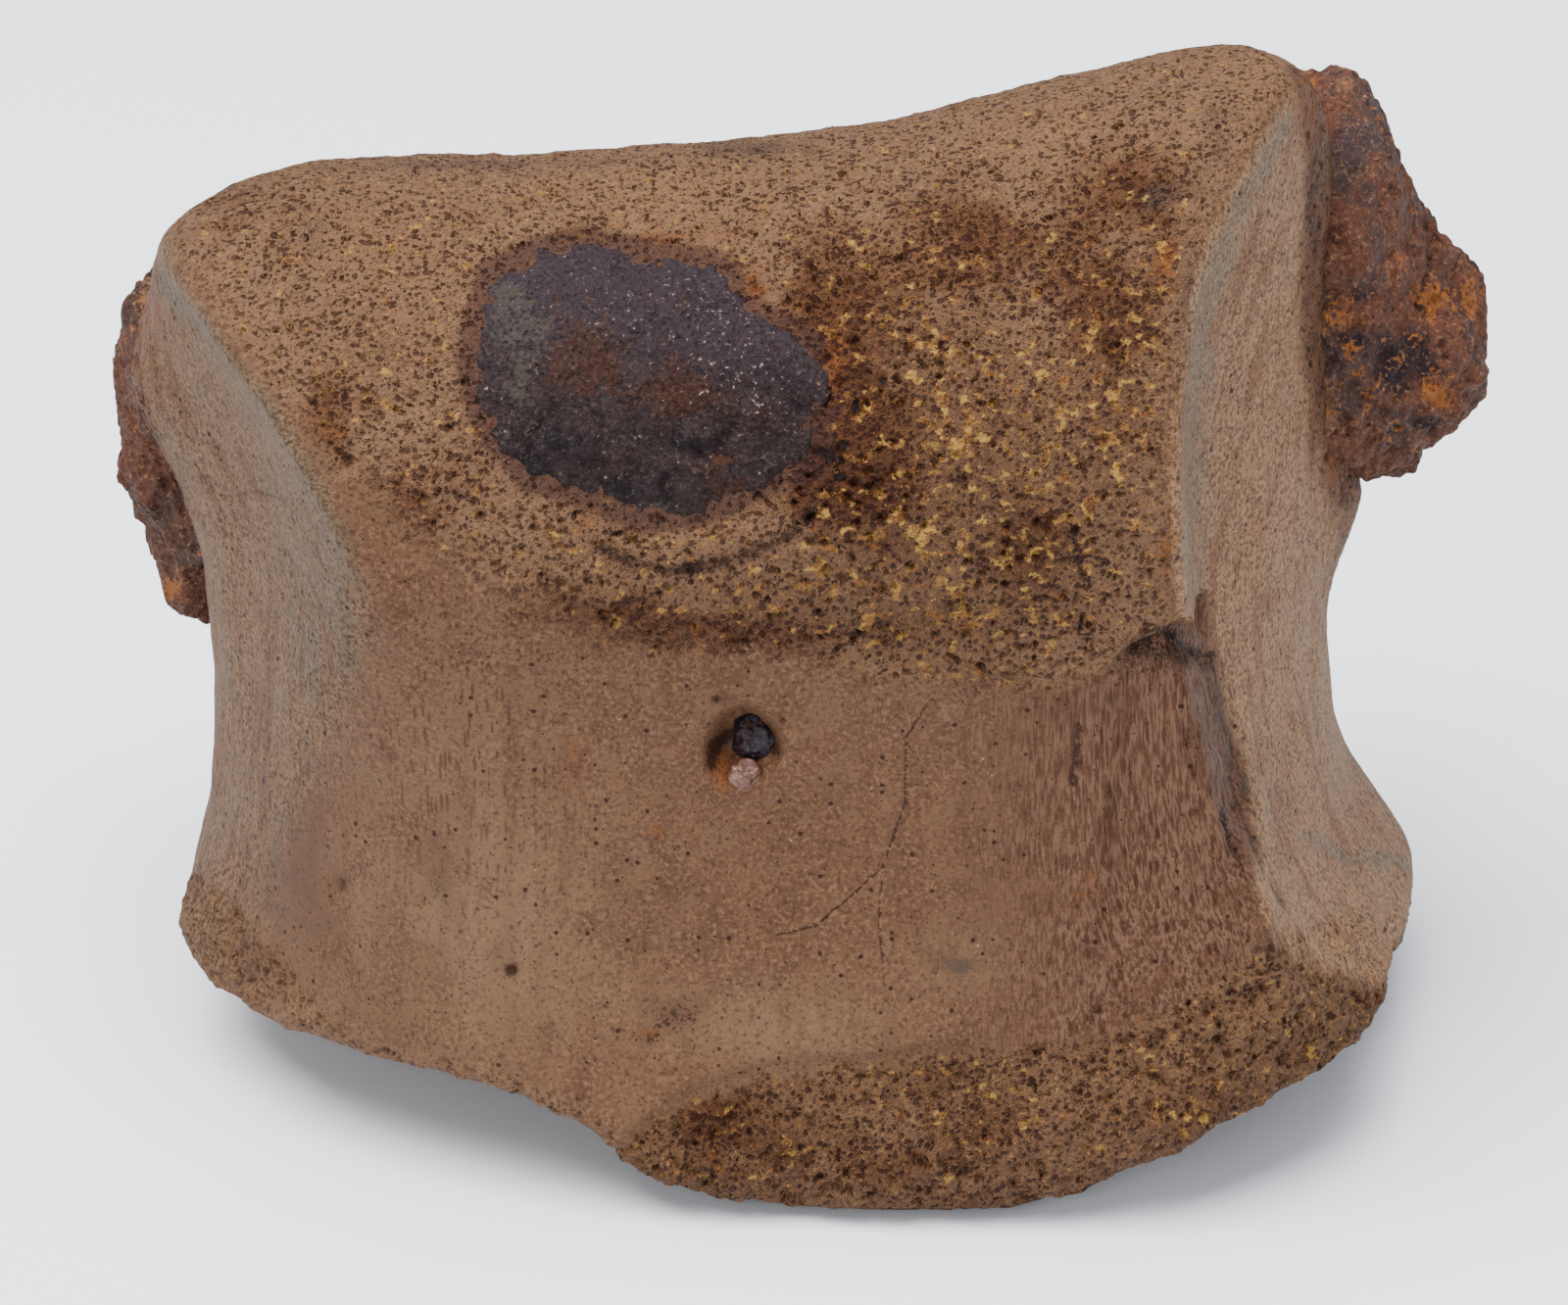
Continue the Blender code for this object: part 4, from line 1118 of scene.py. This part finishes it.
def ironstone_colours(red, dark, orange):
    """The colours of one crust: its red, the dark clouds in it and its orange spots."""
    def colours(tree):
        place = reading(tree, "rest", True)
        broad = clouds(place, 8.0, 3.0, 0.6, 1.0)
        medium = clouds(place, 2.2, 4.0, 0.65, 6.0)
        speckle = clouds(place, 0.45, 3.0, 0.7, 2.0)
        ragged = (medium - 0.5) * 2.2 + (speckle - 0.5) * 1.6
        colour = over(coloured(tree, red), dark, rising(broad + (medium - 0.5) * 0.6, 0.48, 0.6))
        colour = over(colour, linear(34, 12, 4), rising(medium, 0.45, 0.3) * 0.85)
        for label, tint, most in (
                ("purple", linear(62, 48, 47), 0.85), ("black", linear(24, 16, 24), 0.9),
                ("tan", linear(103, 74, 52), 0.85), ("orange", orange, 0.85)):
            colour = over(colour, tint, rising(reading(tree, label) + ragged, 0.3, 0.75) * most)
        spotted = rising(medium + (broad - 0.5) * 0.5 + (speckle - 0.5) * 0.5, 0.62, 0.7)
        colour = over(colour, orange, spotted * 0.6)
        colour = over(colour, linear(132, 97, 70), rising(speckle, 0.53, 0.68) * 0.6)
        colour = over(colour, linear(5, 1, 1), rising(speckle, 0.44, 0.3) * 0.8)
        colour = over(colour, linear(253, 210, 159), rising(speckle, 0.74, 0.78) * 0.8)
        roughness = (speckle - 0.5) * 0.3 + 0.7
        height = (speckle - 0.5) * 0.6 + (medium - 0.5) * 0.6
        return colour, roughness, height
    return colours


CRUST_STAINS = {
    "orange": ((1335, 105, 12, 35, 0.8), (1355, 320, 30, 40, 0.5), (1457, 305, 22, 20, 0.9),
               (1465, 402, 18, 16, 0.9), (1395, 400, 12, 30, 0.5), (1500, 310, 14, 30, 0.6),
               (1420, 270, 20, 15, 0.4), (175, 600, 12, 16, 1.0), (125, 350, 8, 14, 0.6),
               (140, 400, 8, 20, 0.4)),
    "black": ((1430, 370, 45, 35, 0.9), (1385, 300, 25, 12, 0.6), (1455, 432, 16, 10, 1.0),
              (1375, 345, 30, 10, 0.6), (1350, 210, 14, 16, 0.6), (165, 480, 14, 40, 0.4)),
    "purple": ((1375, 150, 32, 30, 0.9), (1350, 190, 20, 25, 0.6), (1400, 200, 30, 20, 0.5),
               (1410, 120, 20, 30, 0.5), (1490, 250, 20, 20, 0.4)),
    "tan": ((1342, 230, 10, 60, 0.6), (1345, 330, 14, 50, 0.7), (1352, 420, 20, 40, 0.8),
            (1390, 440, 20, 12, 0.5), (1325, 80, 14, 30, 0.8), (1370, 85, 20, 14, 0.5),
            (150, 300, 14, 30, 0.6), (185, 420, 10, 60, 0.4))}
for name, node, slot, blobs, middle, seed, colours in (
        ("ironstone_right_skin", "ironstone_right", "rusty_ironstone",
         (((51.2, 19, 59.5), (9.2, 9.5, 7.6)), ((45, 18, 71), (7, 11.5, 12.5)),
          ((45.5, 21, 54), (8, 10.5, 6)), ((44, 26, 64), (7.5, 9, 12))),
         (49.0, 20.0, 60.0), 3, (linear(84, 51, 37), linear(66, 48, 44), linear(134, 77, 27))),
        ("ironstone_left_skin", "ironstone_left", "brown_ironstone",
         (((-54, 20, 54.5), (7, 10, 9.5)), ((-51.8, 21, 43), (5.4, 10, 6.5)),
          ((-53.2, 19, 35.5), (3.2, 5, 2.8)), ((-49.5, 27, 51), (7, 8, 13))),
         (-54.0, 20.0, 48.0), 5, (linear(75, 45, 33), linear(58, 41, 35), linear(124, 71, 30)))):
    points, faces = crust_skin(blobs, middle, seed)
    crust_seen = seen_from_front(points)
    crust_stains = {label: soft_spots(crust_seen, *spots) for label, spots in CRUST_STAINS.items()}
    crust = mesh_object(name, points, faces, crust_stains)
    crust.data.materials.append(finished(slot, ironstone_colours(*colours), Specular_IOR_Level=0.15))
    crust.data.shade_smooth()
    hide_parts(node)
    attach(crust, "root")


# The filled vessel opening.
# A blood vessel once left the shaft here. The hole is plugged by a knob of dark manganese ore, and
# below it hangs a glassy drip of pale calcite that has run down to the rim.

PEBBLE_CELLS = 26
PEBBLE_UNEVENNESS = 0.5


def front_of(across, up):
    """The point of the form's front at that place across and up."""
    start, forward = np.array([(across, 0.0, up)]), np.array([(0.0, -1.0, 0.0)])
    return start[0] + forward[0] * distance_out(bone_form, start, forward, 60.0)[0]


def pebble(middle, radii, seed):
    """A small uneven stone of about those radii."""
    stone_way, faces = star_directions(PEBBLE_CELLS, (1, 1, 1))
    points = middle + stone_way * np.array(radii)
    rough = lumps(points, 1.3, seed) + 0.4 * lumps(points, 0.5, seed + 1)
    return points + stone_way * (rough * PEBBLE_UNEVENNESS)[:, None], faces


def manganese(tree):
    place = reading(tree, "rest", True)
    broad, fine = clouds(place, 0.9, 3.0, 0.6, 1.0), clouds(place, 0.3, 2.0, 0.6, 4.0)
    colour = over(coloured(tree, linear(26, 17, 22)), linear(62, 53, 57), rising(fine, 0.5, 0.7) * 0.7)
    colour = over(colour, linear(62, 36, 20), rising(broad, 0.56, 0.68) * 0.7)
    return colour, (fine - 0.5) * 0.4 + 0.36, (fine - 0.5) * 0.15


def calcite(tree):
    place = reading(tree, "rest", True)
    broad, fine = clouds(place, 1.2, 3.0, 0.6, 7.0), clouds(place, 0.35, 2.0, 0.6, 3.0)
    colour = over(coloured(tree, linear(82, 49, 34)), linear(102, 73, 61), rising(broad, 0.47, 0.64))
    colour = over(colour, linear(68, 33, 14), rising(broad, 0.44, 0.3) * 0.8)
    colour = over(colour, linear(143, 109, 94), rising(fine, 0.58, 0.74) * 0.6)
    return colour, (fine - 0.5) * 0.3 + 0.22, (fine - 0.5) * 0.12


for name, slot, paint, spot, inward, radii, seed, gloss in (
        ("vessel_plug", "dark_ironstone", manganese, (1.1, -0.7), 0.0, (2.0, 1.3, 2.4), 41, 0.2),
        ("vessel_drip", "fossil_bone", calcite, (0.2, -3.7), 0.35, (1.6, 0.7, 2.3), 47, 0.4)):
    middle = front_of(VESSEL_X + spot[0], VESSEL_Z + spot[1]) + np.array((0.0, inward, 0.0))
    points, faces = pebble(middle, radii, seed)
    mineral = mesh_object(name, points, faces)
    mineral.data.materials.append(finished(name, paint, Specular_IOR_Level=gloss))
    mineral.data.shade_smooth()
    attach(mineral, "root")


# The camera.
# It stands in front of the bone and looks down 28 degrees at the shaft's middle from 0.62 m away,
# through a long lens. It is aimed a little to the left of that middle and below it.

AIM_LEFT, AIM_BELOW = 1.45, 1.8
SENSOR_WIDTH, LENS = 36.0, 163.2

middle = Vector(placed(SHAFT_MIDDLE))
aim = Vector(placed(SHAFT_MIDDLE - np.array((AIM_LEFT, 0.0, 0.0)) - AIM_BELOW * EYE_UP))
camera = bpy.data.objects.new("camera", bpy.data.cameras.new("camera"))
camera.location = middle + Vector(TOWARD_EYE) * (EYE_AWAY * 0.001)
camera.rotation_euler = (aim - camera.location).to_track_quat("-Z", "Y").to_euler()
camera.data.sensor_width = SENSOR_WIDTH
camera.data.lens = LENS
camera.data.clip_start = 0.01
bpy.context.scene.collection.objects.link(camera)
bpy.context.scene.camera = camera
